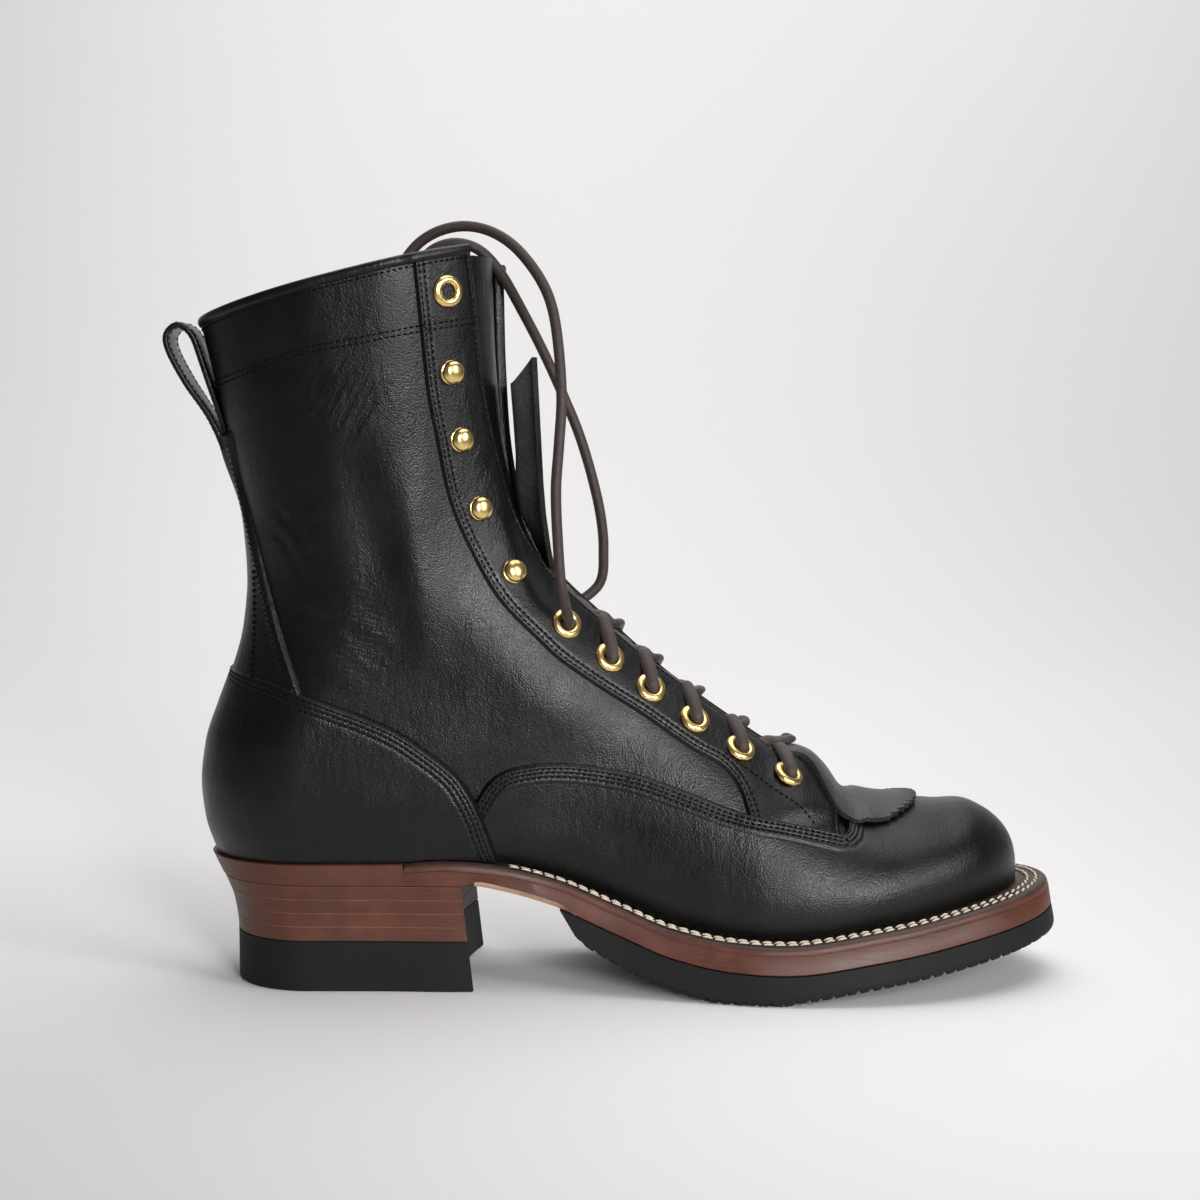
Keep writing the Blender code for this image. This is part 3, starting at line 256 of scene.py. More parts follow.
@dataclass
class BootForm:
    """The closed form that the upper is drawn over, from its sections and its side outline."""

    toe_start: float = 235.0
    toe_tip: float = 292.2
    toe_fullness: float = 2.35
    toe_pole: float = 271.0
    bulge_height: float = 16.0
    handover_station: float = 78.0
    handover_slope: float = 0.75
    handover_length: float = 50.0
    handover_height: float = 46.0
    collar_back: float = 233.4
    collar_rise: float = 0.305
    collar_sag: float = 0.0005
    inner_dip: float = 6.5
    inner_dip_run: Span = (60.0, 104.0)
    facing_lift: float = 2.4
    facing_lift_run: Span = (198.0, 212.0)
    facing_lift_heights: Span = (58.0, 65.0)
    throat_round: float = 211.0
    throat_end: float = 224.0
    corner_feather: float = 62.0
    throat_feather: float = 216.0
    seam_reach: float = 1.9
    collar_turn: float = 0.74 * math.pi
    search_depth: float = 30.0
    halvings: int = 40
    line_points: int = 400
    front_points: int = 3000
    sole: Table = Table("station seat band margin", (
        (0, 45, 37.4, 3.6), (66, 45.2, 37.4, 3.8), (86, 46.5, 37.4, 4.6), (97, 45.9, 37.4, 5.2),
        (106, 44.8, 35.8, 5.8), (126, 39.8, 30.2, 7.8), (147, 31.4, 21.6, 10), (167, 24, 14.2, 10.9),
        (188, 20.6, 10.8, 11.3), (203, 20.2, 10.4, 11.3), (239, 24.6, 14.8, 11.3), (272, 30, 20.2, 12.4),
        (307, 35.4, 25.4, 14.4)))
    foot: Table = Table("station axis outer inner swell_outer swell_inner crown", (
        (60, 0, 31, 30.5, 2.5, 2.5, 3), (100, 0, 28.8, 25.5, 4, 5, 3), (123, 0, 28.5, 22.8, 4.5, 6.5, 3),
        (144, 0.5, 31, 23, 4, 6.5, 3), (166, 1, 36, 26.5, 3.5, 5, 2.8), (184, 1.6, 41.2, 31.2, 3, 3.5, 2.6),
        (200, 2, 45, 35.3, 2.5, 3, 2.5), (215, 2.5, 46, 38, 2.5, 2.5, 2.4), (230, 3, 45.4, 38.8, 2.5, 2.5, 2.5),
        (246, 3.6, 43.4, 38.6, 2.5, 2.5, 2.7), (262, 4.2, 41, 38, 2.2, 2.2, 2.9), (293, 5, 37, 36, 1.5, 1.5, 3)))
    ridge: Table = Table("station height", (
        (106.8, 266), (108.2, 222), (111.2, 190), (117.2, 165), (127.6, 146.4), (145, 128.8), (168, 109.2),
        (200, 84.6), (222, 70.6), (234, 64), (246, 62.4), (262, 63.6), (276, 67.6), (293, 68)))
    leg: Table = Table("height back half back_round front_round", (
        (46, 4.8, 31, 34, 70), (58, 1, 33.2, 35, 70), (70, -0.2, 34.4, 36, 70), (84, 1.4, 34.6, 37, 66),
        (98, 6, 34, 39, 62), (111, 10.8, 33.8, 41, 60), (126, 14.8, 34, 42, 58), (143, 16.4, 34.8, 43, 56),
        (160, 15.4, 36.2, 44, 53), (188, 10.2, 38.8, 46, 49), (212, 4.6, 40.8, 48, 47), (240, -1.9, 42.6, 50, 45),
        (270, -9, 43.8, 50, 45)))
    throat: Table = Table("height outer inner", (
        (66, 11, 11), (95, 11.5, 11.5), (127, 13, 13), (150, 15, 14), (182, 18.4, 14), (213, 23.4, 13),
        (266, 29.5, 12)))
    # The vamp's upper edge, and how far the quarters sit below it there.
    vamp_line: Line = (
        (95, 62), (98.7, 69), (102, 74), (106.4, 77.4), (113, 79.5), (124, 80.7), (137.5, 79.8), (155, 76.7),
        (172, 71), (189, 65), (207, 61), (222, 57.2), (224.8, 56.5), (226.6, 56.9), (227.6, 58.4), (227.6, 61),
        (226.8, 64.5))
    step_depth: float = 1.3
    facing_depth: float = 1.0
    facing_depth_run: Span = (180.0, 192.0)
    step_reach: float = 22.0
    step_fade: Span = (2.5, 6.5)
    # The creases that show: broad hollow and crest on the shaft, fine folds behind the ankle and across it.
    creases: tuple[Crease, ...] = (
        Crease(((73.8, 190.0), (76.7, 158.3), (79.9, 134.3), (82.5, 106.6)), -1.0, 7.0),
        Crease(((54.0, 196.0), (61.0, 168.0), (68.5, 141.2)), 1.3, 9.0),
        Crease(((18.8, 222.9), (39.0, 215.5), (52.0, 204.0)), 0.6, 6.0),
        Crease(((27.0, 171.0), (35.0, 161.7), (41.0, 150.0)), 0.3, 1.6, 0.2),
        Crease(((34.0, 174.0), (38.4, 161.7), (43.0, 146.0)), 0.3, 1.5, 0.2),
        Crease(((26.0, 162.7), (33.2, 155.6), (38.8, 143.6)), 0.3, 1.5, 0.2),
        Crease(((68.5, 210.4), (59.3, 199.9), (51.4, 188.4)), 0.4, 1.8, 0.2),
        Crease(((64.5, 212.1), (55.9, 202.6), (48.8, 193.2)), 0.35, 1.7, 0.2),
        Crease(((33.7, 134.6), (51.7, 128.1), (71.5, 115.3)), 0.45, 2.2, 0.3),
        Crease(((36.0, 130.4), (53.4, 122.2), (69.1, 111.5)), 0.4, 1.9, 0.25),
        Crease(((40.4, 123.9), (55.1, 116.2), (63.6, 108.5)), 0.3, 1.7, 0.2),
    )

    def __post_init__(self) -> None:
        """Turn the tables into smooth functions."""
        self.seat = self.sole.smooth("seat")
        self.band = self.sole.smooth("band")
        self.margin = self.sole.smooth("margin")
        self.axis = self.foot.smooth("axis")
        self.crown = self.foot.smooth("crown")
        names = {Side.OUTER: "outer", Side.INNER: "inner"}
        self.feather_half = {side: self.foot.smooth(name) for side, name in names.items()}
        self.swell = {side: self.foot.smooth("swell_" + name) for side, name in names.items()}
        self.throat_half = {side: self.throat.smooth(name) for side, name in names.items()}
        self.roof = self.ridge.smooth("height")
        self.back = self.leg.smooth("back")
        self.leg_half = self.leg.smooth("half")
        self.back_round = self.leg.smooth("back_round")
        self.front_round = self.leg.smooth("front_round")
        self.heel_feather = float(self.back(self.seat(0)))
        self.front_stations = np.linspace(self.ridge.rows[0][0], self.toe_start, self.front_points)
        self.front_heights = self.roof(self.front_stations)
        self.step_edge = bend_rows(np.array(self.vamp_line), 4)

    def feather(self, station: Values) -> Array:
        """Height of the upper's lower edge."""
        return self.seat(station) + GAP

    def collar(self, station: Values, side: Side = Side.OUTER) -> Array:
        """Height of the collar's edge, which dips to its front corner on the inner side.

        Args:
            station: the stations.
            side: the side of the foot.

        Returns:
            Heights above the floor.
        """
        ahead = np.asarray(station, float) + 1
        dip = self.inner_dip * ramp(station, *self.inner_dip_run) * (side is Side.INNER)
        return self.collar_back + self.collar_rise * ahead - self.collar_sag * ahead**2 - dip

    def facing_rise(self, station: Values, height: Values) -> Array:
        """How far the facing's tip stands up over the false tongue that passes under it."""
        return self.facing_lift * ramp(station, *self.facing_lift_run) * ramp(height, *self.facing_lift_heights)

    def front(self, height: Values) -> Array:
        """Station of the ridge line on the front of the leg and instep."""
        return np.interp(-np.asarray(height, float), -self.front_heights, self.front_stations)

    @staticmethod
    def rounding(share: Array) -> Array:
        """An ellipse's square: 0 at the edge, 1 from where the rounding is complete."""
        return np.where(share < 0, 2 * share, 1 - (1 - np.clip(share, 0, 1)) ** 2)

    def toe_share(self, station: Values) -> Array:
        """How much of the section's square the toe's rounding has taken."""
        share = (np.asarray(station, float) - self.toe_start) / (self.toe_tip - self.toe_start)
        return np.clip(share, 0, None) ** self.toe_fullness

    def ridge_height(self, station: Values) -> Array:
        """Height of the closed form's top line, with the toe rounded off.

        Args:
            station: the stations.

        Returns:
            Heights above the floor.
        """
        low = self.feather(station)
        left = np.clip(1 - self.toe_share(station), 0, 1)
        return low + (self.roof(station) - low) * left ** (1 / self.crown(station))

    def half_square(self, side: Side, station: Array, height: Array) -> Array:
        """Square of the form's half width, which is negative outside its side outline.

        Args:
            side: the side of the foot.
            station: the stations.
            height: the heights.

        Returns:
            Square millimetres.
        """
        low = self.feather(station)
        above = np.asarray(height, float) - low
        bulge = self.swell[side](station) * self.rounding(above / self.bulge_height)
        wide = self.feather_half[side](station) + bulge
        rise = np.clip(above / (self.roof(station) - low), 0, None)
        foot = wide**2 * (1 - rise ** self.crown(station) - self.toe_share(station))
        behind = (station - self.back(height)) / self.back_round(height)
        ahead = (self.front(height) - station) / self.front_round(height)
        leg_front = np.where(height < self.ridge_height(self.toe_start), 1, self.rounding(ahead))
        leg = self.leg_half(height) ** 2 * self.rounding(behind) * leg_front
        start = self.handover_station + self.handover_slope * (height - self.handover_height)
        share = ramp((station - start) / self.handover_length, 0, 1)
        return share * foot + (1 - share) * leg

    def step(self, station: Values) -> Array:
        """How far the quarters sit below the vamp's edge, more where the facing's tip lies between them."""
        return self.step_depth + self.facing_depth * ramp(station, *self.facing_depth_run)

    def dip(self, station: Array, height: Array) -> Array:
        """How far the surface moves, negative inward, to pass under the vamp's edge.

        Args:
            station: the stations.
            height: the heights.

        Returns:
            Millimetres along the surface's normal.
        """
        at = np.stack(np.broadcast_arrays(np.asarray(station, float), np.asarray(height, float)), axis=-1)
        nearest, _ = nearest_on(self.step_edge, at)
        share = np.where(nearest < 0, ramp(-nearest, 0.0, self.step_reach), ramp(nearest, *self.step_fade))
        return -self.step(station) * (1 - share)

    def relief(self, station: Array, height: Array) -> Array:
        """How far the creases and the step under the vamp move the surface out."""
        return self.dip(station, height) + sum(crease.relief(station, height) for crease in self.creases)

    def place(self, side: Side, station: Array, height: Array, lift: Values = 0.0) -> Array:
        """Points on the form's surface.

        Args:
            side: the side of the foot.
            station: stations of the points in the side view.
            height: heights of the points.
            lift: how far each is moved out along the surface's normal.

        Returns:
            Stations, side distances and heights, creases included.
        """
        station, height = np.broadcast_arrays(np.asarray(station, float), np.asarray(height, float))
        small = 0.4
        across = side * np.sqrt(np.clip(self.half_square(side, station, height), 0, None))
        fore, aft = station + small, station - small
        by_station = self.half_square(side, fore, height) - self.half_square(side, aft, height)
        by_height = self.half_square(side, station, height + small)
        by_height = by_height - self.half_square(side, station, height - small)
        lean = (self.axis(fore) - self.axis(aft)) / (2 * small)
        slopes = [-by_station / (2 * small) - 2 * across * lean, 2 * across, -by_height / (2 * small)]
        normal = unit(np.stack(slopes, axis=-1))
        points = np.stack([station, self.axis(station) + across, height], axis=-1)
        lift = np.asarray(lift) + self.relief(station, height)
        return points + lift[..., None] * normal

    def below_ridge(self, side: Side, station: Array, half: Array) -> tuple[Array, Array]:
        """Station and height of the surface point of a half width, square below a ridge point.

        Args:
            side: the side of the foot.
            station: stations of the ridge points.
            half: the half widths.

        Returns:
            Stations and heights.
        """
        step = 0.3
        rise = (self.ridge_height(station + step) - self.ridge_height(station - step)) / (2 * step)
        normal = unit(np.stack([-rise, np.ones_like(rise)], axis=-1))
        top = np.stack([station, self.ridge_height(station)], axis=-1)
        near, far = np.zeros(station.shape), np.full(station.shape, self.search_depth)
        for _ in range(self.halvings):
            middle = (near + far) / 2
            at = top - middle[..., None] * normal
            inside = self.half_square(side, at[..., 0], at[..., 1]) > half**2
            far, near = np.where(inside, middle, far), np.where(inside, near, middle)
        at = top - far[..., None] * normal
        return at[..., 0], at[..., 1]

    def over_ridge(self, station: Values, across: Values, lift: Values) -> Array:
        """Surface points at side distances from the form's axis, square across the ridge line.

        Args:
            station: stations of the ridge points.
            across: side distances, negative outward.
            lift: how far each is moved out along the normal.

        Returns:
            The points.
        """
        station, across, lift = np.broadcast_arrays(
            np.atleast_1d(np.asarray(station, float)), np.asarray(across, float), np.asarray(lift, float))
        points = np.empty(station.shape + (3,))
        for side in Side:
            chosen = (across > 0) == (side is Side.INNER)
            if chosen.any():
                at = self.below_ridge(side, station[chosen], np.abs(across[chosen]))
                points[chosen] = self.place(side, *at, lift[chosen])
        return points

    def throat_edge(self, side: Side) -> Array:
        """The throat's edge in the side view, from the collar's front corner to the throat's lower end.

        Args:
            side: the side of the foot.

        Returns:
            Stations and heights.
        """
        heights = np.linspace(self.ridge.rows[0][1] - 1, float(self.roof(self.throat_end)), self.line_points)
        station = np.maximum.accumulate(self.front(heights))
        closing = (station - self.throat_round) / (self.throat_end - self.throat_round)
        half = self.throat_half[side](self.roof(station)) * np.sqrt(1 - np.clip(closing, 0, 1) ** 2)
        edge = np.column_stack(self.below_ridge(side, station, half))
        edge[-1] = self.throat_end, self.ridge_height(self.throat_end)
        return edge[edge[:, 1] < self.collar(edge[:, 0], side)]

    def upper_grid(self, side: Side, spans: GridSpans) -> Array:
        """Station and height of the upper's crossings: sections from back seam to toe, each from edge to top.

        Args:
            side: the side of the foot.
            spans: how finely it is divided.

        Returns:
            The grid, one row for each section.
        """
        heel = 1 - np.cos(np.linspace(0, self.collar_turn, spans.heel + 1))
        heel /= heel[-1]
        toe = np.sin(np.linspace(0, math.pi / 2, spans.toe + 1))[1:]
        middle = np.linspace(0, 1, spans.throat + 1)[1:]
        low_station = np.concatenate([
            self.heel_feather + (self.corner_feather - self.heel_feather) * heel,
            self.corner_feather + (self.throat_feather - self.corner_feather) * middle,
            self.throat_feather + (self.toe_tip - self.throat_feather) * toe])
        low = np.column_stack([low_station, self.feather(low_station)])
        edge = self.throat_edge(side)
        back_top = float(self.back(self.collar(-1)))
        collar_station = back_top + (edge[0, 0] - back_top) * heel
        pole_station = self.throat_end + (self.toe_pole - self.throat_end) * toe
        high = np.vstack([
            np.column_stack([collar_station, self.collar(collar_station, side)]),
            at_shares(edge, np.linspace(0, 1, spans.throat + 1))[1:],
            np.column_stack([pole_station, self.ridge_height(pole_station)])])
        plain = np.linspace(0, 1, spans.rise + 1)
        crowded = np.sin(plain * math.pi / 2)
        closed_from = spans.heel + spans.throat
        to_ridge = ramp(np.arange(len(low)), closed_from - spans.throat / 4, closed_from)
        rise = plain + to_ridge[:, None] * (crowded - plain)
        grid = low[:, None] + rise[..., None] * (high - low)[:, None]
        seam_bow = self.back(grid[0, :, 1]) - grid[0, :, 0]
        from_seam = (low_station - self.heel_feather) / (self.seam_reach * self.corner_feather)
        grid[..., 0] += np.clip(1 - from_seam, 0, 1)[:, None] * seam_bow
        nose = self.toe_tip - (self.toe_tip - self.toe_pole) * np.linspace(0, 1, self.line_points) ** 3
        on_nose = at_shares(np.column_stack([nose, self.ridge_height(nose)]), crowded)
        near_toe = 1 - (self.toe_tip - low_station) / (self.toe_tip - self.throat_feather)
        return grid + np.clip(near_toe, 0, 1)[:, None, None] * (on_nose - grid[-1])

    def offset_line(self, side: Side, line: Array, distance: float) -> Array:
        """A line in the side view, moved sideways over the surface.

        Args:
            side: the side of the foot.
            line: stations and heights.
            distance: how far it moves, to the right of its run where positive.

        Returns:
            The moved line, kept on the surface and above the feather line.
        """
        along = np.gradient(line, axis=0)
        across = unit(np.column_stack([along[:, 1], -along[:, 0]])) * math.copysign(1, distance)
        moved = line.copy()
        steps, small = 6, 0.25
        for _ in range(steps):
            here = self.place(side, moved[:, 0], moved[:, 1])
            there = self.place(side, *(moved + small * across).T)
            stretch = np.maximum(np.linalg.norm(there - here, axis=1) / small, 0.5)
            moved = moved + (abs(distance) / steps / stretch)[:, None] * across
            moved[:, 0] = np.maximum(moved[:, 0], self.back(moved[:, 1]))
        moved[:, 1] = np.maximum(moved[:, 1], self.feather(moved[:, 0]) + GAP)
        return moved


def to_world(points: Array) -> Array:
    """Boot millimetres to the frame's metres."""
    return (np.asarray(points, float) - np.array([MIDDLE_STATION, MIDDLE_SIDE, 0.0])) * MM


def grid_faces(rows: int, columns: int, around: bool = False) -> Array:
    """Quads of a grid of points counted row by row, closed along each row where around is true.

    Args:
        rows: how many rows.
        columns: how many points in a row.
        around: whether rows are closed.

    Returns:
        Four point numbers for each quad.
    """
    i, j = np.meshgrid(np.arange(rows - 1), np.arange(columns - (not around)), indexing="ij")
    k = (j + 1) % columns
    quads = [i * columns + j, i * columns + k, (i + 1) * columns + k, (i + 1) * columns + j]
    return np.stack(quads, axis=-1).reshape(-1, 4)


class Shape:
    """Points and faces of a piece while it is put together, in boot millimetres."""

    def __init__(self) -> None:
        """Start with nothing."""
        self.points: list[Array] = []
        self.faces: list[tuple[int, ...]] = []
        self.marks: list[int] = []
        self.count = 0

    def add(self, points: Array, faces: Iterable[Sequence[int]], mark: int = 0) -> None:
        """Add points and the faces that join them, which take the finish that mark numbers.

        Args:
            points: the points.
            faces: their numbers round each face.
            mark: the finish's number.
        """
        points = np.asarray(points, float).reshape(-1, 3)
        fresh = [tuple(int(self.count + corner) for corner in face) for face in faces]
        self.points.append(points)
        self.faces += fresh
        self.marks += [mark] * len(fresh)
        self.count += len(points)

    def grid(self, grid: Array, mark: int = 0, around: bool = False) -> None:
        """Add a grid of points with quads over it."""
        self.add(grid, grid_faces(*grid.shape[:2], around), mark)

    def capped(self, rings: Array) -> None:
        """Add a tube through rings of points, with a flat face over each end.

        Args:
            rings: one row of points for each ring.
        """
        self.grid(rings, around=True)
        for end in (0, -1):
            self.add(rings[end], [range(rings.shape[1])])

    def sheet(self, outside: Array, inside: Array, marks: tuple[int, int] = (0, 0)) -> None:
        """Add a sheet between two grids, closed along its four borders.

        Args:
            outside: the upper grid.
            inside: the lower grid.
            marks: the finishes of the two.
        """
        self.grid(outside, marks[0])
        self.grid(inside[:, ::-1], marks[1])
        for cut in (np.s_[:, 0], np.s_[:, -1], np.s_[0], np.s_[-1]):
            self.grid(np.stack([outside[cut], inside[cut]]), marks[0])

    def tube(self, line: Array, ups: Array, halves: Span, sides: int) -> None:
        """Add a closed tube of oval section along a line, with rounded ends.

        Args:
            line: the tube's middle line.
            ups: the way that the oval's short axis points, at each of the line's points.
            halves: half of the oval's width and of its thickness.
            sides: how many points its section has.
        """
        along = unit(np.gradient(line, axis=0))
        first = unit(np.cross(along, ups))
        second = np.cross(first, along)
        turn = np.linspace(0, 2 * math.pi, sides, endpoint=False)
        spokes = halves[0] * first[:, None] * np.cos(turn)[:, None]
        spokes = spokes + halves[1] * second[:, None] * np.sin(turn)[:, None]
        rings = line[:, None] + spokes
        for end, way in ((0, -1), (-1, 1)):
            cap = [line[end] + way * along[end] * halves[1] * math.sin(a) + math.cos(a) * spokes[end]
                   for a in (math.pi / 6, math.pi / 3, math.pi / 2)]
            rings = np.concatenate([cap[::-1], rings]) if end == 0 else np.concatenate([rings, cap])
        self.grid(rings, around=True)


def make_piece(name: str, shape: Shape, finishes: Sequence["Finish"], stands_for: Sequence[str] = (),
               smooth_angle: float = 60.0) -> None:
    """Turn a shape into a piece of the boot.

    Args:
        name: the piece's name.
        shape: its points and faces, with marks that number the finishes.
        finishes: the finishes that its faces take.
        stands_for: CAD nodes that the piece replaces.
        smooth_angle: edges sharper than this many degrees stay crisp.
    """
    mesh = bpy.data.meshes.new(name)
    mesh.from_pydata(to_world(np.vstack(shape.points)).tolist(), [], shape.faces)
    mesh.polygons.foreach_set("material_index", shape.marks)
    work = bmesh.new()
    work.from_mesh(mesh)
    bmesh.ops.remove_doubles(work, verts=work.verts, dist=WELD * MM)
    bmesh.ops.dissolve_degenerate(work, edges=work.edges, dist=SLIVER * MM)
    bmesh.ops.recalc_face_normals(work, faces=work.faces)
    if work.calc_volume(signed=True) < 0:
        bmesh.ops.reverse_faces(work, faces=work.faces)
    work.to_mesh(mesh)
    work.free()
    mesh.shade_smooth()
    mesh.set_sharp_from_angle(angle=math.radians(smooth_angle))
    for finish in finishes:
        mesh.materials.append(finish.material())
    piece = bpy.data.objects.new(name, mesh)
    settle(piece, stands_for)


def settle(piece: bpy.types.Object, stands_for: Sequence[str] = ()) -> None:
    """Put a piece into the scene, on the boot's body, and log it.

    Args:
        piece: the piece.
        stands_for: CAD nodes that it replaces.
    """
    bpy.context.scene.collection.objects.link(piece)
    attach(piece, BODY)
    if stands_for:
        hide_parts(*stands_for)
    size = len(piece.data.polygons) if piece.type == "MESH" else len(piece.data.splines[0].points)
    log.info("%s: %d faces or points, in place of %s", piece.name, size, ", ".join(stands_for) or "nothing")


def linear(hex_colour: str) -> tuple[float, float, float, float]:
    """An sRGB hex colour as linear red, green, blue and alpha.

    Args:
        hex_colour: the colour as # and six digits.

    Returns:
        The four parts, from 0 to 1.
    """
    parts = [int(hex_colour[i:i + 2], 16) / 255 for i in (1, 3, 5)]
    red, green, blue = (p / 12.92 if p <= 0.04045 else ((p + 0.055) / 1.055) ** 2.4 for p in parts)
    return red, green, blue, 1.0


def add_node(tree: Tree, kind: str, values: dict | None = None, links: dict | None = None,
             **settings: object) -> Node:
    """Add a node.

    Args:
        tree: the material's node tree.
        kind: the node's type name, without the part that all shader nodes share.
        values: input values by socket name or number.
        links: output sockets that feed inputs, by socket name or number.
        settings: the node's own properties.

    Returns:
        The node.
    """
    node = tree.nodes.new("ShaderNode" + kind)
    for name, value in settings.items():
        setattr(node, name, value)
    for name, value in (values or {}).items():
        node.inputs[name].default_value = value
    for name, source in (links or {}).items():
        tree.links.new(source, node.inputs[name])
    return node


# A Mix node's sockets for its share and its colours. Other kinds of value have sockets of the same names.
MIX_SHARE, MIX_FIRST, MIX_SECOND, MIX_RESULT = 0, 6, 7, 2


def per_mm(size: float) -> float:
    """A texture's scale, per metre, for a pattern of a size in millimetres."""
    return 1.0 / (size * MM)


@dataclass(frozen=True)
class Finish:
    """What every finish has: a name, two colours that it drifts between, and its range of roughness."""

    name: str
    colour: str
    second: str
    roughness: Span

    def material(self) -> bpy.types.Material:
        """The finish's material, made the first time it is asked for.

        Returns:
            The material.
        """
        made = bpy.data.materials.get(self.name)
        if made is None:
            made = bpy.data.materials.new(self.name)
            made.use_nodes = True
            made.diffuse_color = linear(self.colour)
            where = add_node(made.node_tree, "TexCoord").outputs["Object"]
            self.dress(made.node_tree, made.node_tree.nodes["Principled BSDF"], where)
        return made

    def drift(self, tree: Tree, shader: Node, share: Socket) -> None:
        """Let colour and roughness drift with a share from 0 to 1.

        Args:
            tree: the node tree.
            shader: the shader.
            share: the output that holds the share.
        """
        colours = {MIX_FIRST: linear(self.colour), MIX_SECOND: linear(self.second)}
        mix = add_node(tree, "Mix", colours, {MIX_SHARE: share}, data_type="RGBA")
        low, high = self.roughness
        rough = add_node(tree, "MapRange", {"To Min": low, "To Max": high}, {"Value": share})
        tree.links.new(mix.outputs[MIX_RESULT], shader.inputs["Base Color"])
        tree.links.new(rough.outputs[0], shader.inputs["Roughness"])

    def dress(self, tree: Tree, shader: Node, where: Socket) -> None:
        """Add the finish's own nodes."""
        raise NotImplementedError


@dataclass(frozen=True)
class GrainLeather(Finish):
    """Leather with its grain side out."""

    # Real pebbles are about 0.4 mm across. They are drawn up to twice as coarse, so that they show in the render.
    grain: float = 0.85
    grain_depth: float = 0.05
    patch: float = 16.0
    gloss: float = 0.35
    crack: str = "#040404"
    fold: float = 5.0
    fold_depth: float = 0.25
    # Middle in boot millimetres, radius, tilt in radians and pitch of each patch of fine wrinkles.
    wrinkles: tuple[tuple[tuple[float, float, float], float, float, float], ...] = ()
    wrinkle_depth: float = 1.5
    stir: float = 1.7

    def dress(self, tree: Tree, shader: Node, where: Socket) -> None:
        """Pebbled grain, with cloudy changes of gloss where it was handled and creased.

        Args:
            tree: the node tree.
            shader: the shader.
            where: the object coordinates.
        """
        cloud = add_node(tree, "TexNoise", {"Scale": per_mm(self.patch), "Detail": 4.0, "Roughness": 0.6},
                         {"Vector": where})
        spread = add_node(tree, "MapRange", {"From Min": 0.3, "From Max": 0.7}, {"Value": cloud.outputs["Fac"]})
        self.drift(tree, shader, spread.outputs[0])
        stir = add_node(tree, "TexNoise", {"Scale": per_mm(self.grain * self.stir), "Detail": 4.0}, {"Vector": where})
        pebbles = add_node(tree, "TexVoronoi", {"Scale": per_mm(self.grain), "Randomness": 1.0}, {"Vector": where})
        height = add_node(tree, "Math", {}, {0: pebbles.outputs["Distance"], 1: stir.outputs["Fac"]}, operation="ADD")
        grain = add_node(tree, "Bump", {"Strength": 1.0, "Distance": self.grain_depth * MM},
                         {"Height": height.outputs[0]}, invert=True)
        drawn = add_node(tree, "Mapping", {"Scale": (1.6, 1.0, 0.7), "Rotation": (0.0, 0.5, 0.0)}, {"Vector": where})
        folds = add_node(tree, "TexNoise", {"Scale": per_mm(self.fold), "Detail": 3.0, "Distortion": 0.6},
                         {"Vector": drawn.outputs[0]})
        relief = folds.outputs["Fac"]
        for middle, radius, tilt, pitch in self.wrinkles:
            near = add_node(tree, "VectorMath", {1: to_world(middle).tolist()}, {0: where}, operation="DISTANCE")
            limits = {"From Min": radius * MM, "From Max": 0.2 * radius * MM, "To Max": self.wrinkle_depth}
            mask = add_node(tree, "MapRange", limits, {"Value": near.outputs["Value"]}, interpolation_type="SMOOTHSTEP")
            turned = add_node(tree, "Mapping", {"Scale": (5.0, 5.0, 1.0), "Rotation": (0.0, tilt, 0.0)},
                              {"Vector": where}, vector_type="TEXTURE")
            lines = add_node(tree, "TexNoise", {"Scale": per_mm(pitch), "Detail": 2.0}, {"Vector": turned.outputs[0]})
            relief = add_node(tree, "Math", {}, {0: lines.outputs["Fac"], 1: mask.outputs[0], 2: relief},
                              operation="MULTIPLY_ADD").outputs[0]
        bump = add_node(tree, "Bump", {"Strength": 1.0, "Distance": self.fold_depth * MM},
                        {"Height": relief, "Normal": grain.outputs[0]})
        tree.links.new(bump.outputs[0], shader.inputs["Normal"])
        cracks = add_node(tree, "MapRange", {"From Min": 0.95, "From Max": 1.35}, {"Value": height.outputs[0]})
        dyed = shader.inputs["Base Color"].links[0].from_socket
        tone = add_node(tree, "Mix", {MIX_SECOND: linear(self.crack)}, {MIX_SHARE: cracks.outputs[0], MIX_FIRST: dyed},
                        data_type="RGBA")
        tree.links.new(tone.outputs[MIX_RESULT], shader.inputs["Base Color"])
        shader.inputs["IOR"].default_value = 1.5
        shader.inputs["Specular IOR Level"].default_value = self.gloss


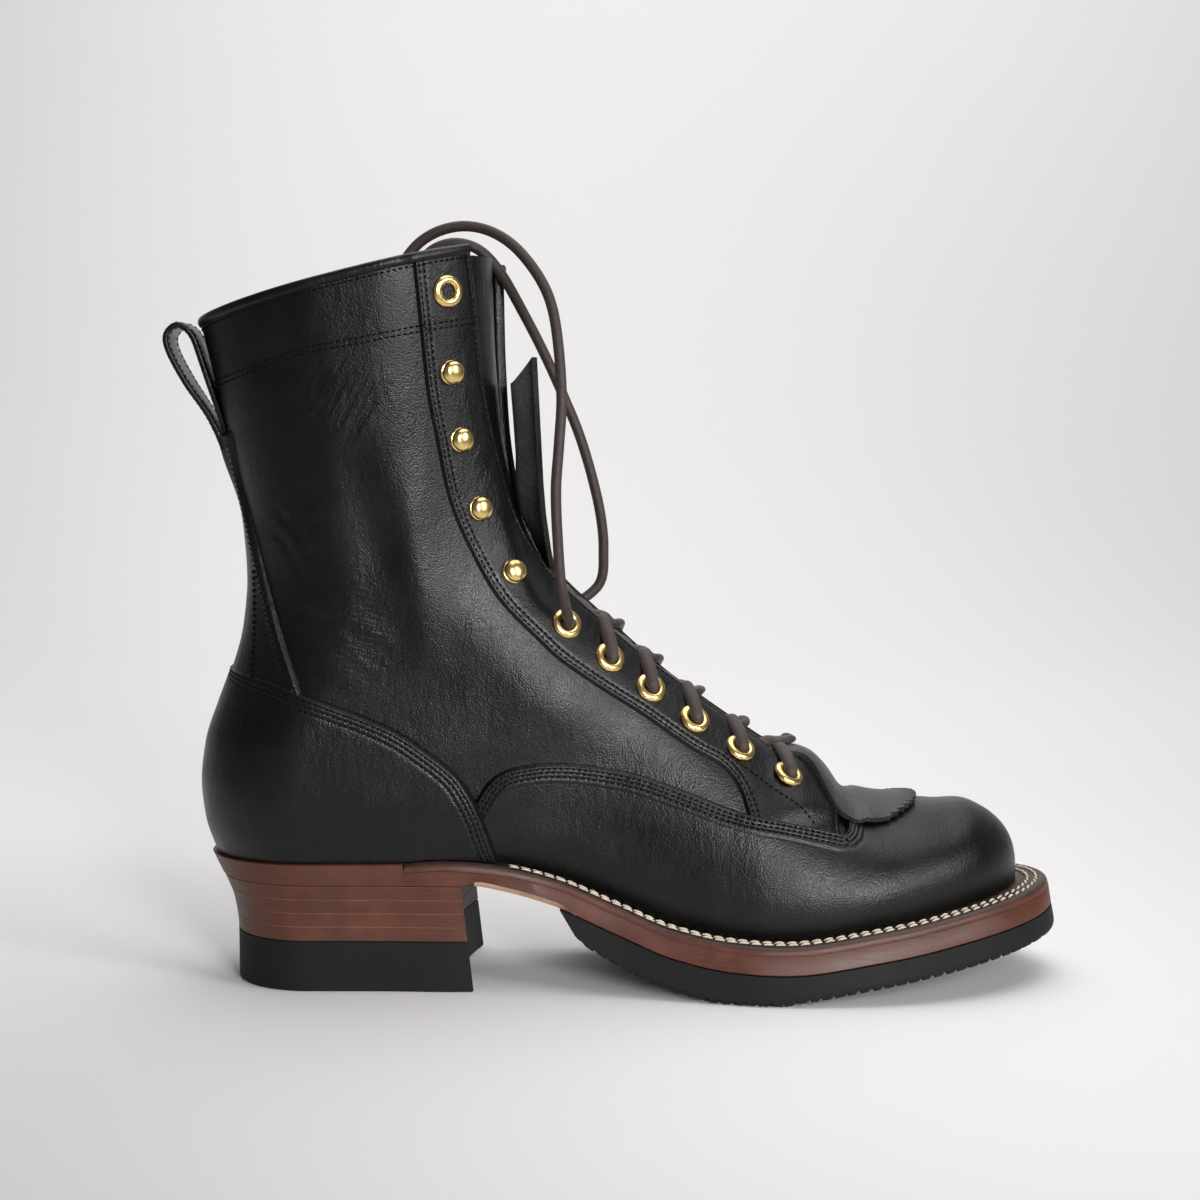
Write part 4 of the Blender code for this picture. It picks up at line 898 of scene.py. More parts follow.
@dataclass(frozen=True)
class BurnishedEdge(Finish):
    """Layers of sole leather, sanded and burnished with wax on their cut edges."""

    streak: float = 0.5
    streak_length: float = 14.0
    depth: float = 0.06
    blotch: float = 9.0

    def dress(self, tree: Tree, shader: Node, where: Socket) -> None:
        """Fine level streaks from the fibres, waxy gloss between them.

        Args:
            tree: the node tree.
            shader: the shader.
            where: the object coordinates.
        """
        scale = (per_mm(self.streak_length), per_mm(self.streak_length), per_mm(self.streak))
        stretched = add_node(tree, "Mapping", {"Scale": scale}, {"Vector": where})
        fibres = add_node(tree, "TexNoise", {"Scale": 1.0, "Detail": 5.0, "Roughness": 0.65},
                          {"Vector": stretched.outputs[0]})
        patches = add_node(tree, "TexNoise", {"Scale": per_mm(self.blotch), "Detail": 3.0}, {"Vector": where})
        both = add_node(tree, "Math", {}, {0: fibres.outputs["Fac"], 1: patches.outputs["Fac"]}, operation="ADD")
        spread = add_node(tree, "MapRange", {"From Min": 0.75, "From Max": 1.3}, {"Value": both.outputs[0]})
        self.drift(tree, shader, spread.outputs[0])
        bump = add_node(tree, "Bump", {"Strength": 1.0, "Distance": self.depth * MM}, {"Height": fibres.outputs["Fac"]})
        tree.links.new(bump.outputs[0], shader.inputs["Normal"])
        shader.inputs["IOR"].default_value = 1.5


@dataclass(frozen=True)
class MouldedRubber(Finish):
    """Rubber pressed in a mould and buffed at its edges."""

    speck: float = 0.9
    depth: float = 0.04
    cloud: float = 22.0

    def dress(self, tree: Tree, shader: Node, where: Socket) -> None:
        """A dull even skin with dusty specks from buffing.

        Args:
            tree: the node tree.
            shader: the shader.
            where: the object coordinates.
        """
        specks = add_node(tree, "TexNoise", {"Scale": per_mm(self.speck), "Detail": 4.0}, {"Vector": where})
        cloud = add_node(tree, "TexNoise", {"Scale": per_mm(self.cloud), "Detail": 3.0}, {"Vector": where})
        both = add_node(tree, "Math", {}, {0: specks.outputs["Fac"], 1: cloud.outputs["Fac"]}, operation="MULTIPLY")
        spread = add_node(tree, "MapRange", {"From Min": 0.12, "From Max": 0.42}, {"Value": both.outputs[0]})
        self.drift(tree, shader, spread.outputs[0])
        bump = add_node(tree, "Bump", {"Strength": 1.0, "Distance": self.depth * MM}, {"Height": specks.outputs["Fac"]})
        tree.links.new(bump.outputs[0], shader.inputs["Normal"])
        shader.inputs["IOR"].default_value = 1.52
        shader.inputs["Specular IOR Level"].default_value = 0.3


@dataclass(frozen=True)
class StampedBrass(Finish):
    """Brass, stamped to shape and polished."""

    tarnish: float = 2.2

    def dress(self, tree: Tree, shader: Node, where: Socket) -> None:
        """Clear gold gloss, a little duller in patches.

        Args:
            tree: the node tree.
            shader: the shader.
            where: the object coordinates.
        """
        cloud = add_node(tree, "TexNoise", {"Scale": per_mm(self.tarnish), "Detail": 4.0}, {"Vector": where})
        spread = add_node(tree, "MapRange", {"From Min": 0.35, "From Max": 0.7}, {"Value": cloud.outputs["Fac"]})
        self.drift(tree, shader, spread.outputs[0])
        shader.inputs["Metallic"].default_value = 1.0


@dataclass(frozen=True)
class TwistedThread(Finish):
    """Thread of several plies, pulled through wax."""

    ply: float = 0.5
    depth: float = 0.08
    sheen: float = 0.2
    gloss: float = 0.5

    def dress(self, tree: Tree, shader: Node, where: Socket) -> None:
        """Waxy plies that catch the light along each stitch.

        Args:
            tree: the node tree.
            shader: the shader.
            where: the object coordinates.
        """
        plies = add_node(tree, "TexNoise", {"Scale": per_mm(self.ply), "Detail": 2.0}, {"Vector": where})
        self.drift(tree, shader, plies.outputs["Fac"])
        bump = add_node(tree, "Bump", {"Strength": 1.0, "Distance": self.depth * MM}, {"Height": plies.outputs["Fac"]})
        tree.links.new(bump.outputs[0], shader.inputs["Normal"])
        shader.inputs["Sheen Weight"].default_value = self.sheen
        shader.inputs["Specular IOR Level"].default_value = self.gloss


@dataclass(frozen=True)
class StudioPaper(Finish):
    """Seamless background paper: matt, without a visible grain."""

    cloud: float = 400.0

    def dress(self, tree: Tree, shader: Node, where: Socket) -> None:
        """A matt sheet whose tone drifts very slightly.

        Args:
            tree: the node tree.
            shader: the shader.
            where: the object coordinates.
        """
        cloud = add_node(tree, "TexNoise", {"Scale": per_mm(self.cloud), "Detail": 1.0}, {"Vector": where})
        self.drift(tree, shader, cloud.outputs["Fac"])
        shader.inputs["Specular IOR Level"].default_value = 0.1


# Oil-tanned cowhide, dyed through and finished satin: near black, with a fine pebble that breaks up its highlights.
UPPER_LEATHER = GrainLeather("oil_tanned_cowhide_black_satin", "#060505", "#0a0a09", (0.29, 0.42), 0.58, 0.078,
                             fold_depth=0.18, wrinkle_depth=2.0, wrinkles=(
    ((33.0, -31.0, 160.0), 20.0, -0.95, 1.5), ((56.0, -40.0, 206.0), 26.0, -1.05, 1.7),
    ((52.0, -34.0, 126.0), 28.0, 0.25, 1.6)))
# The same hide, skived thinner and pressed smooth by folding: a shallower grain and a longer gloss.
FOLDED_LEATHER = GrainLeather("oil_tanned_cowhide_black_folded", "#060505", "#0b0a0a", (0.28, 0.4), 0.6, 0.07, 9.0)
# The false tongue's leaf: duller than the upper, and a lighter grey that is painted sheen, standing in for the overhead
# light the leaf catches.
LEAF_LEATHER = GrainLeather("oil_tanned_cowhide_black_dry", "#2a2928", "#353433", (0.4, 0.52), 0.6, 0.06, 9.0, 0.55)
# Its flesh side: dull nap, with a light grey that is painted light, standing in for the light that falls on the free
# end's face.
FLESH_SIDE = GrainLeather("cowhide_flesh_side_napped_grey", "#4e4b4a", "#666361", (0.75, 0.9), 0.7, 0.05, 12.0, 0.2,
                          "#454241")
# Lining of glove leather, dyed black and left unglazed: dull and even.
LINING_LEATHER = GrainLeather("glove_leather_lining_unglazed", "#151312", "#1f1c1b", (0.6, 0.75), 0.7, 0.03, 20.0, 0.2)
# Vegetable-tanned insole, undyed and rubbed smooth: warm tan, dull.
INSOLE_LEATHER = GrainLeather("vegetable_tanned_insole_rubbed", "#9a6f46", "#7c5533", (0.55, 0.7), 0.9, 0.03, 14.0,
                              0.4, "#5a3b22")
# Sole leather, edge-dyed brown and burnished: reddish brown with darker streaks and a waxy gloss.
SOLE_EDGE = BurnishedEdge("sole_leather_edge_burnished_brown", "#432013", "#5a2f1e", (0.4, 0.55))
# The same edge where the dye wore thin: faint orange lines between the lifts.
WORN_EDGE = BurnishedEdge("sole_leather_edge_worn", "#7a4a31", "#94603f", (0.5, 0.65))
# The waist's lower edge, skived and left undyed: pale tan, fibrous.
RAW_EDGE = BurnishedEdge("sole_leather_edge_raw_tan", "#b08a6e", "#caa78b", (0.6, 0.75), 0.9, 4.0, 0.15)
# The heel's breast, trimmed with a knife and only smeared with dye: dark, with raw patches.
BREAST_EDGE = BurnishedEdge("sole_leather_breast_knife_cut", "#1c1613", "#5a3a29", (0.5, 0.7), 1.6, 5.0, 0.2)
# Welt leather, dyed dark and wheeled on its top: almost black brown, waxy.
WELT_TOP = BurnishedEdge("welt_leather_waxed_dark_brown", "#2a1b16", "#402a22", (0.4, 0.55), 0.8, 9.0, 0.08)
# Nitrile sole rubber, moulded and buffed: dark grey and dull.
SOLE_RUBBER = MouldedRubber("nitrile_rubber_moulded_buffed", "#080808", "#0f0f0f", (0.65, 0.8))
# Stamped brass, polished and lightly aged: clear gold, duller in patches.
AGED_BRASS = StampedBrass("stamped_brass_polished", "#f5d994", "#e6c27a", (0.2, 0.27))
# Bonded nylon upper thread, black: dull plies, darker than the leather round them.
BLACK_THREAD = TwistedThread("bonded_nylon_thread_black", "#030303", "#060606", (0.7, 0.85), 0.5, 0.08, 0.0, 0.15)
# Linen welt thread, waxed: cream plies, dull.
CREAM_THREAD = TwistedThread("waxed_linen_thread_cream", "#d9d0bf", "#b7a78f", (0.6, 0.75), 0.6, 0.12, 0.2)
# Lace cut from latigo hide and rolled round: grey brown, waxy, with the fibre showing.
ROLLED_LACE = TwistedThread("latigo_lace_rolled", "#1c1310", "#3b2b26", (0.5, 0.7), 1.0, 0.2, 0.1)
# Background paper: pale warm grey.
BACKDROP = StudioPaper("seamless_paper_pale_grey", "#f0eeee", "#eeecec", (0.9, 0.95))


@dataclass(frozen=True)
class EdgeCut:
    """The proud cut edge of a leather panel and the rows of stitches that pull it down."""

    thickness: float
    rows: tuple[float, ...] = ()
    round_over: float = 1.0
    groove: float = 0.3
    level: bool = False
    bevel: float = 1.6
    groove_width: float = 0.5

    def lift(self, distance: Values) -> Array:
        """Height of the panel above the upper at a distance from its edge.

        Args:
            distance: distances inside the edge.

        Returns:
            Heights above the upper.
        """
        distance = np.asarray(distance, float)
        near = np.clip(distance / self.round_over, 0, 1)
        lift = self.thickness * (1 - (1 - near) ** self.bevel)
        for row in self.rows:
            lift = lift - self.groove * np.exp(-(((distance - row) / self.groove_width) ** 2))
        return lift


# Distances from a panel's edge at which its surface is drawn: close at the rounded edge and over the stitch rows.
NEAR_EDGE = (0.0, 0.05, 0.15, 0.3, 0.5, 0.75, 1.05, 1.4, 1.75, 2.1, 2.45, 2.8, 3.15, 3.5, 3.85, 4.2, 4.6, 5.0, 5.4,
             5.8, 6.3, 7.0)
UNDERSIDE = -0.5


@dataclass
class Stitching:
    """Rows of stitches, gathered into one piece."""

    name: str
    finish: Finish
    slot: Slot
    pitch: float
    length: float
    thick: float
    sides: int = 6
    rings: tuple[float, ...] = (-1.0, -0.8, -0.35, 0.35, 0.8, 1.0)
    slant: float = 0.0
    fullness: float = 2.6
    end_size: float = 0.02
    sink: float = 0.35
    look: float = 0.3
    shape: Shape = field(default_factory=Shape)

    def row(self, line: Array, above: Array) -> None:
        """Add a row of stitches.

        Args:
            line: points along the row, in boot millimetres.
            above: the same points lifted off the surface, which tells which way is up.
        """
        lengths = lengths_along(line)
        count = int(lengths[-1] / self.pitch)
        if count < 2:
            return
        shares = (np.arange(count) + 0.5) / count
        centres = at_shares(line, shares)
        ups = np.column_stack([np.interp(shares * lengths[-1], lengths, c) for c in unit(above - line).T])
        before = at_shares(line, np.clip(shares - self.look / count, 0, 1))
        after = at_shares(line, np.clip(shares + self.look / count, 0, 1))
        along = unit(after - before)
        beside = unit(np.cross(ups, along))
        along, beside = (
            along * math.cos(self.slant) + beside * math.sin(self.slant),
            beside * math.cos(self.slant) - along * math.sin(self.slant))
        turn = np.linspace(0, 2 * math.pi, self.sides, endpoint=False)
        last = (len(self.rings) - 1) * self.sides
        faces = [*grid_faces(len(self.rings), self.sides, around=True),
                 range(self.sides), range(last, last + self.sides)]
        for centre, up, forward, aside in zip(centres, ups, along, beside):
            rings = []
            for t in self.rings:
                size = self.thick / 2 * max(self.end_size, (1 - abs(t) ** self.fullness)) ** 0.5
                middle = centre + forward * t * self.length / 2 - up * self.sink * self.thick * t * t
                rings.append(middle + size * (np.cos(turn)[:, None] * aside + np.sin(turn)[:, None] * up))
            self.shape.add(np.array(rings), faces)

    def piece(self) -> None:
        """The stitches as one piece."""
        make_piece(self.name, self.shape, [self.finish], smooth_angle=80)


@dataclass
class Upper:
    """The sewn upper: shaft, quarters and vamp in one hollow shell, with the panels sewn over it."""

    form: BootForm
    thread: Stitching
    spans: GridSpans = GridSpans(56, 104, 40, 108)
    counter_cut: EdgeCut = EdgeCut(2.3, (2.3, 3.9, 5.7), 1.9, 0.3, True)
    vamp_cut: EdgeCut = EdgeCut(1.5, (2.0, 3.4, 5.0), 1.5, 0.3, True)
    vamp_proud: float = 0.2
    eyestay_cut: EdgeCut = EdgeCut(1.4, (1.8, 3.5), 1.3)
    facing_cut: EdgeCut = EdgeCut(1.4, (2.0,), 1.2)
    backstay_cut: EdgeCut = EdgeCut(1.9, (2.0, 3.6), 1.6)
    counter_line: Line = (
        (10.8, 111), (17.8, 110.7), (29.7, 108.4), (38.8, 105), (51, 100.6), (61.5, 96.6), (72, 91.7), (82, 85),
        (91, 77.7), (96, 70.7), (99.4, 64), (102, 57), (105.6, 46.2))
    counter_columns: int = 90
    counter_spans: int = 24
    counter_seam_reach: float = 60.0
    vamp_rows_end: Span = (226.4, 55.8)
    vamp_rows_points: int = 12
    vamp_tail: Span = (8.0, 9.0)
    vamp_sink: float = 0.6
    vamp_sink_run: Span = (6.3, 9.0)
    row_turn: float = 1.6
    stay_points: int = 200
    stay_spans: int = 14
    facing_turn: float = 2.6
    # Distance inside the facing's edge and height over the upper, where None is the height of its cut edge.
    facing_wrap: tuple[tuple[float, float | None], ...] = (
        (2.1, None), (1.7, None), (1.3, None), (0.9, None), (0.5, 1.15), (0.15, 1.0), (-0.2, 0.5), (-0.35, -0.4),
        (-0.35, -1.4), (-0.15, -2.2), (0.4, -2.6))
    # Height over the upper and height over the collar, round the binding.
    binding_section: Line = (
        (-0.3, -2.5), (0.4, -2.4), (0.75, -2), (0.95, -1.3), (0.95, -0.5), (0.75, 0.3), (0.3, 0.85), (-0.5, 1.1),
        (-1.6, 1.05), (-2.6, 0.6), (-3.1, -0.3), (-3.2, -1.2), (-3.1, -2), (-2.4, -2.6))
    binding_turn: float = 0.62 * math.pi
    binding_columns: int = 80
    binding_end: float = 0.4
    binding_on_stay: float = 1.35
    binding_run: Span = (74.0, 79.0)
    collar_row: float = 3.5
    collar_row_run: Span = (76.0, 80.0)
    band_rows: Span = (0.0, -1.9)
    band_run: Span = (78.0, 81.5)
    tip_row: Line = ((184, 83), (196, 75), (208, 66), (216, 59.6))
    thread_lift: float = 0.1
    loose_lift: float = 0.15
    least_thick: float = 0.2
    sewn_half_square: float = 4.0
    sewn_above: float = 1.5
    eyestay_line: Line = (
        (77.6, 254), (78, 251), (80, 230), (82, 209), (85, 192), (89, 172), (96, 154.5), (106, 137), (120, 122.5),
        (127, 116), (141, 106), (155, 97), (172, 85.5), (183, 79.5), (189, 73), (192, 65), (192.6, 60))
    facing_tip: Line = ((216.4, 73.4), (219.6, 70.6), (222.5, 66.5), (224.6, 61), (225.4, 55.6))
    facing_leaves: float = 211.0
    backstay_line: Line = (
        (11.8, 195.5), (13.9, 181), (17.6, 167.5), (22.7, 150), (27.5, 134.7), (32, 121), (38.8, 103))
    back_row: Line = ((20.6, 147), (20.8, 135), (20.6, 121), (20.2, 108))
    backstay_near: int = 14
    backstay_spans: int = 12
    backstay_start: float = 1.2
    loop_cover: float = 1.3
    loop_cover_run: Span = (4.0, 30.0)
    loop_cover_columns: tuple[int, int] = (11, 5)
    band_line: Line = ((2, 211), (17.4, 216), (39, 223), (60, 227), (80, 231), (98, 234.4))

    def panel(self, side: Side, edge: Array, sign: int, cut: EdgeCut, far: Array, spans: int) -> tuple[Array, Array]:
        """A panel from its proud edge to another line.

        Args:
            side: the side of the foot.
            edge: the proud edge in the side view.
            sign: 1 where the panel lies to the right of the edge's run, -1 to the left.
            cut: how its edge is finished.
            far: the other line, with as many points.
            spans: steps from the part near the edge to the other line.

        Returns:
            Stations and heights of its crossings, and their heights above the upper.
        """
        columns, lifts = [edge], [cut.lift(0.0)]
        for distance in NEAR_EDGE[1:]:
            columns.append(self.form.offset_line(side, edge, sign * distance))
            lifts.append(cut.lift(distance))
        last = columns[-1]
        for share in np.linspace(0, 1, spans + 1)[1:]:
            columns.append(last + share * (far - last))
            lifts.append(cut.lift(NEAR_EDGE[-1]))
        return np.stack(columns, axis=1), np.array(lifts, float)

    def skins(self, side: Side, crossings: Array, lifts: Array, rise: Values = 0.0) -> tuple[Array, Array]:
        """Outside and underside of a panel, both moved out by a rise where something passes under it.

        Args:
            side: the side of the foot.
            crossings: stations and heights.
            lifts: their heights above the upper.
            rise: how far both are moved out.

        Returns:
            The two grids of points.
        """
        station, height = crossings[..., 0], crossings[..., 1]
        lifts = np.broadcast_to(lifts, station.shape)
        under = np.minimum(UNDERSIDE, lifts - self.least_thick)
        return (self.form.place(side, station, height, lifts + rise),
                self.form.place(side, station, height, under + rise))

    def sew(self, side: Side, line: Array, lift: Values) -> None:
        """Sew a row of stitches along a line in the side view.

        Args:
            side: the side of the foot.
            line: stations and heights.
            lift: how far above the upper the row lies.
        """
        station, height = line.T
        kept = self.form.half_square(side, station, height) > self.sewn_half_square
        kept &= height > self.form.feather(station) + self.sewn_above
        if kept.sum() < 3:
            return
        lift = np.broadcast_to(np.asarray(lift, float), station.shape)[kept]
        station, height = station[kept], height[kept]
        lines = [self.form.place(side, station, height, lift + up) for up in (0.0, 1.0)]
        self.thread.row(*lines)

    def sew_rows(self, side: Side, edge: Array, sign: int, cut: EdgeCut, on_facing: bool = False,
                 lowered: float = 0.0) -> list[Array]:
        """Sew a panel's rows of stitches beside its edge.

        Args:
            side: the side of the foot.
            edge: the panel's proud edge in the side view.
            sign: 1 where the panel lies to the right of the edge's run, -1 to the left.
            cut: how its edge is finished, with its rows.
            on_facing: whether the rows follow the facing's tip up over the false tongue.
            lowered: how far the panel is sunk into the upper.

        Returns:
            The rows' lines in the side view.
        """
        lines = []
        for row in cut.rows:
            line = self.form.offset_line(side, edge, sign * row)
            rise = self.form.facing_rise(*line.T) if on_facing else 0.0
            if cut.level:
                rise = -self.form.dip(*line.T)
            self.sew(side, line, float(cut.lift(row)) + self.thread_lift + rise - lowered)
            lines.append(line)
        return lines

    def shell(self) -> None:
        """The hollow shell, with its grain outside and its lining inside."""
        shape = Shape()
        for side in Side:
            fine = self.form.upper_grid(side, self.spans)
            outside = self.form.place(side, fine[..., 0], fine[..., 1])
            inside = self.form.place(side, fine[..., 0], fine[..., 1], -WALL)
            for skin in (outside, inside):
                # The toe's middle line lies on the axis, so that the two sides meet there.
                skin[-1, :, 1] = self.form.axis(skin[-1, :, 0])
            closed_from = self.spans.heel + self.spans.throat
            shape.grid(outside)
            shape.grid(inside[:, ::-1], 1)
            shape.grid(np.stack([outside[:, 0], inside[:, 0]]), 1)
            shape.grid(np.stack([outside[:closed_from + 1, -1], inside[:closed_from + 1, -1]]))
        make_piece("upper_shell", shape, [UPPER_LEATHER, LINING_LEATHER], ["upper"])

    def counter(self) -> None:
        """The heel counter, with a proud rounded edge and three rows of stitches."""
        shape = Shape()
        around = 1 - np.cos(np.linspace(0, math.pi / 2, self.counter_columns))
        edge = at_shares(through(self.counter_line, 0.5), around)
        low_station = self.form.heel_feather + (edge[-1, 0] - self.form.heel_feather) * around
        far = np.column_stack([low_station, self.form.feather(low_station) + 2 * GAP])
        halves: list[tuple[Array, Array]] = []
        for side in Side:
            crossings, lifts = self.panel(side, edge, 1, self.counter_cut, far, self.counter_spans)
            bow = self.form.back(crossings[0, :, 1]) - crossings[0, :, 0]
            near_seam = np.clip(1 - (edge[:, 0] - edge[0, 0]) / self.counter_seam_reach, 0, 1)
            crossings[..., 0] += near_seam[:, None] * bow
            crossings[..., 1] = np.maximum(crossings[..., 1], self.form.feather(crossings[..., 0]) + GAP)
            level = -self.form.dip(crossings[..., 0], crossings[..., 1])
            halves.append(self.skins(side, crossings, lifts, level))
            self.sew_rows(side, edge, 1, self.counter_cut)
        outside, inside = (np.concatenate([halves[0][k][::-1], halves[1][k][1:]]) for k in (0, 1))
        for skin in (outside, inside):
            skin[..., 2] = np.maximum(skin[..., 2], self.form.seat(skin[..., 0]) + GAP)
        shape.sheet(outside, inside)
        make_piece("counter_cover", shape, [UPPER_LEATHER], ["heel_counter"])

    def vamp_edge(self) -> None:
        """The vamp's upper edge, which lies proud over the quarters and sinks into the vamp below its stitches."""
        shape = Shape()
        edge = through(self.form.vamp_line, 0.9)
        sewn = through((*self.form.vamp_line[:self.vamp_rows_points], self.vamp_rows_end), 1.1)
        reach = np.array((*NEAR_EDGE, *self.vamp_tail))
        sunk = self.vamp_cut.thickness - self.vamp_proud
        for side in Side:
            columns = [self.form.offset_line(side, edge, distance) if distance else edge for distance in reach]
            crossings = np.stack(columns, axis=1)
            step = self.form.step(edge[:, 0])[:, None]
            near = np.clip(self.vamp_cut.lift(reach) / self.vamp_cut.thickness, 0, 1)
            lifts = (step + self.vamp_proud) * near - step
            lifts = lifts - self.vamp_sink * ramp(reach, *self.vamp_sink_run)
            lifts[:, 0] -= GAP
            shape.sheet(*self.skins(side, crossings, lifts, -self.form.dip(crossings[..., 0], crossings[..., 1])))
            rows = self.sew_rows(side, sewn, 1, self.vamp_cut, lowered=sunk)
            start, end = rows[0][-1], rows[-1][-1]
            ahead = unit(rows[0][-1] - rows[0][-4])
            turn = np.array([(start + end) / 2 + math.cos(a) * (start - end) / 2 + math.sin(a) * ahead * self.row_turn
                             for a in np.linspace(0, math.pi, 9)])
            self.sew(side, turn, self.vamp_proud - self.form.dip(*turn.T))
        make_piece("vamp_edge", shape, [UPPER_LEATHER])

    def facing_edge(self, side: Side) -> Array:
        """The facing's front edge: along the throat, then down the front of its tip.

        Args:
            side: the side of the foot.

        Returns:
            Stations and heights.
        """
        throat = self.form.throat_edge(side)
        line = np.vstack([throat[throat[:, 0] < self.facing_leaves], through(self.facing_tip, 0.5)])
        return at_shares(even(line, 1.0), np.linspace(0, 1, self.stay_points))

    def eyestay(self, side: Side) -> None:
        """The eyestay and facing, which carries the fittings and wraps over the throat's edge.

        Args:
            side: the side of the foot.
        """
        edge = at_shares(through(self.eyestay_line, 0.5), np.linspace(0, 1, self.stay_points))
        front = self.facing_edge(side)
        inner = self.form.offset_line(side, front, self.facing_turn)
        crossings, lifts = self.panel(side, edge, -1, self.eyestay_cut, inner, self.stay_spans)
        columns, more = [], []
        for distance, lift in self.facing_wrap:
            columns.append(self.form.offset_line(side, front, distance))
            more.append(float(self.facing_cut.lift(distance)) if lift is None else lift)
        crossings = np.concatenate([crossings, np.stack(columns, axis=1)], axis=1)
        rise = self.form.facing_rise(crossings[..., 0], crossings[..., 1])
        shape = Shape()
        shape.sheet(*self.skins(side, crossings, np.concatenate([lifts, more]), rise))
        self.sew_rows(side, edge, -1, self.eyestay_cut, True)
        self.sew_rows(side, front, 1, self.facing_cut, True)
        name = f"eyestay_{side.name.lower()}"
        make_piece(name, shape, [FOLDED_LEATHER])

    def backstay(self) -> None:
        """The strip over the back seam, from the counter to the pull loop."""
        shape = Shape()
        edge = even(through(self.backstay_line, 0.5), self.backstay_start)
        near = NEAR_EDGE[:self.backstay_near]
        halves: list[tuple[Array, Array]] = []
        for side in Side:
            columns, lifts = [edge], [self.backstay_cut.lift(0.0)]
            for distance in near[1:]:
                columns.append(self.form.offset_line(side, edge, distance))
                lifts.append(self.backstay_cut.lift(distance))
            last = columns[-1]
            seam = np.column_stack([self.form.back(last[:, 1]), last[:, 1]])
            for share in np.linspace(0, 1, self.backstay_spans + 1)[1:]:
                columns.append(last + (1 - (1 - share) ** 2) * (seam - last))
                lifts.append(self.backstay_cut.lift(near[-1]))
            crossings = np.stack(columns, axis=1)
            down = edge[0, 1] - edge[:, 1]
            inward = ramp(np.arange(len(lifts)) - len(lifts), *(-k for k in self.loop_cover_columns))
            cover = self.loop_cover * self.backstay_cut.thickness * (1 - ramp(down, *self.loop_cover_run))
            grown = np.array(lifts, float) + cover[:, None] * inward
            grown = grown * np.sqrt(np.clip(down / self.backstay_start, 0, 1))[:, None]
            halves.append(self.skins(side, crossings, grown))
            self.sew_rows(side, edge, 1, self.backstay_cut)
            self.sew(side, through(self.back_row, 1.0), self.backstay_cut.thickness + self.thread_lift)
        outside, inside = (
            np.concatenate([halves[0][k], halves[1][k][:, -2::-1]], axis=1) for k in (0, 1))
        shape.sheet(outside, inside)
        make_piece("backstay", shape, [FOLDED_LEATHER])

    def binding(self) -> None:
        """The rolled binding over the collar, with a row of stitches below it."""
        halves = []
        for side in Side:
            corner = float(self.form.throat_edge(side)[0, 0])
            back = float(self.form.back(self.form.collar(-1)))
            turn = 1 - np.cos(np.linspace(0, self.binding_turn, self.binding_columns))
            station = back + (corner - self.binding_end - back) * turn / turn[-1]
            rings = []
            for lift, drop in self.binding_section:
                height = self.form.collar(station, side) + drop
                on_stay = self.binding_on_stay * ramp(station, *self.binding_run) if lift > UNDERSIDE else 0.0
                at = np.maximum(station, self.form.back(height))
                rings.append(self.form.place(side, at, height, lift + on_stay))
            halves.append(np.stack(rings, axis=1))
            low = np.column_stack([station, self.form.collar(station, side) - self.collar_row])
            self.sew(side, low, self.loose_lift + self.eyestay_cut.thickness * ramp(station, *self.collar_row_run))
        shape = Shape()
        shape.capped(np.concatenate([halves[0][::-1], halves[1][1:]]))
        make_piece("collar_binding", shape, [FOLDED_LEATHER])

    def loose_rows(self) -> None:
        """Sew the rows that hold no panel edge: the top band's and the facing tip's."""
        for side in Side:
            band = through(self.band_line, 1.0)
            for shift in self.band_rows:
                line = band + np.array([0.0, shift])
                lift = self.loose_lift + self.eyestay_cut.thickness * ramp(line[:, 0], *self.band_run)
                self.sew(side, line, lift)
            tip = through(self.tip_row, 1.0)
            self.sew(side, tip, self.eyestay_cut.thickness + self.loose_lift + self.form.facing_rise(*tip.T))


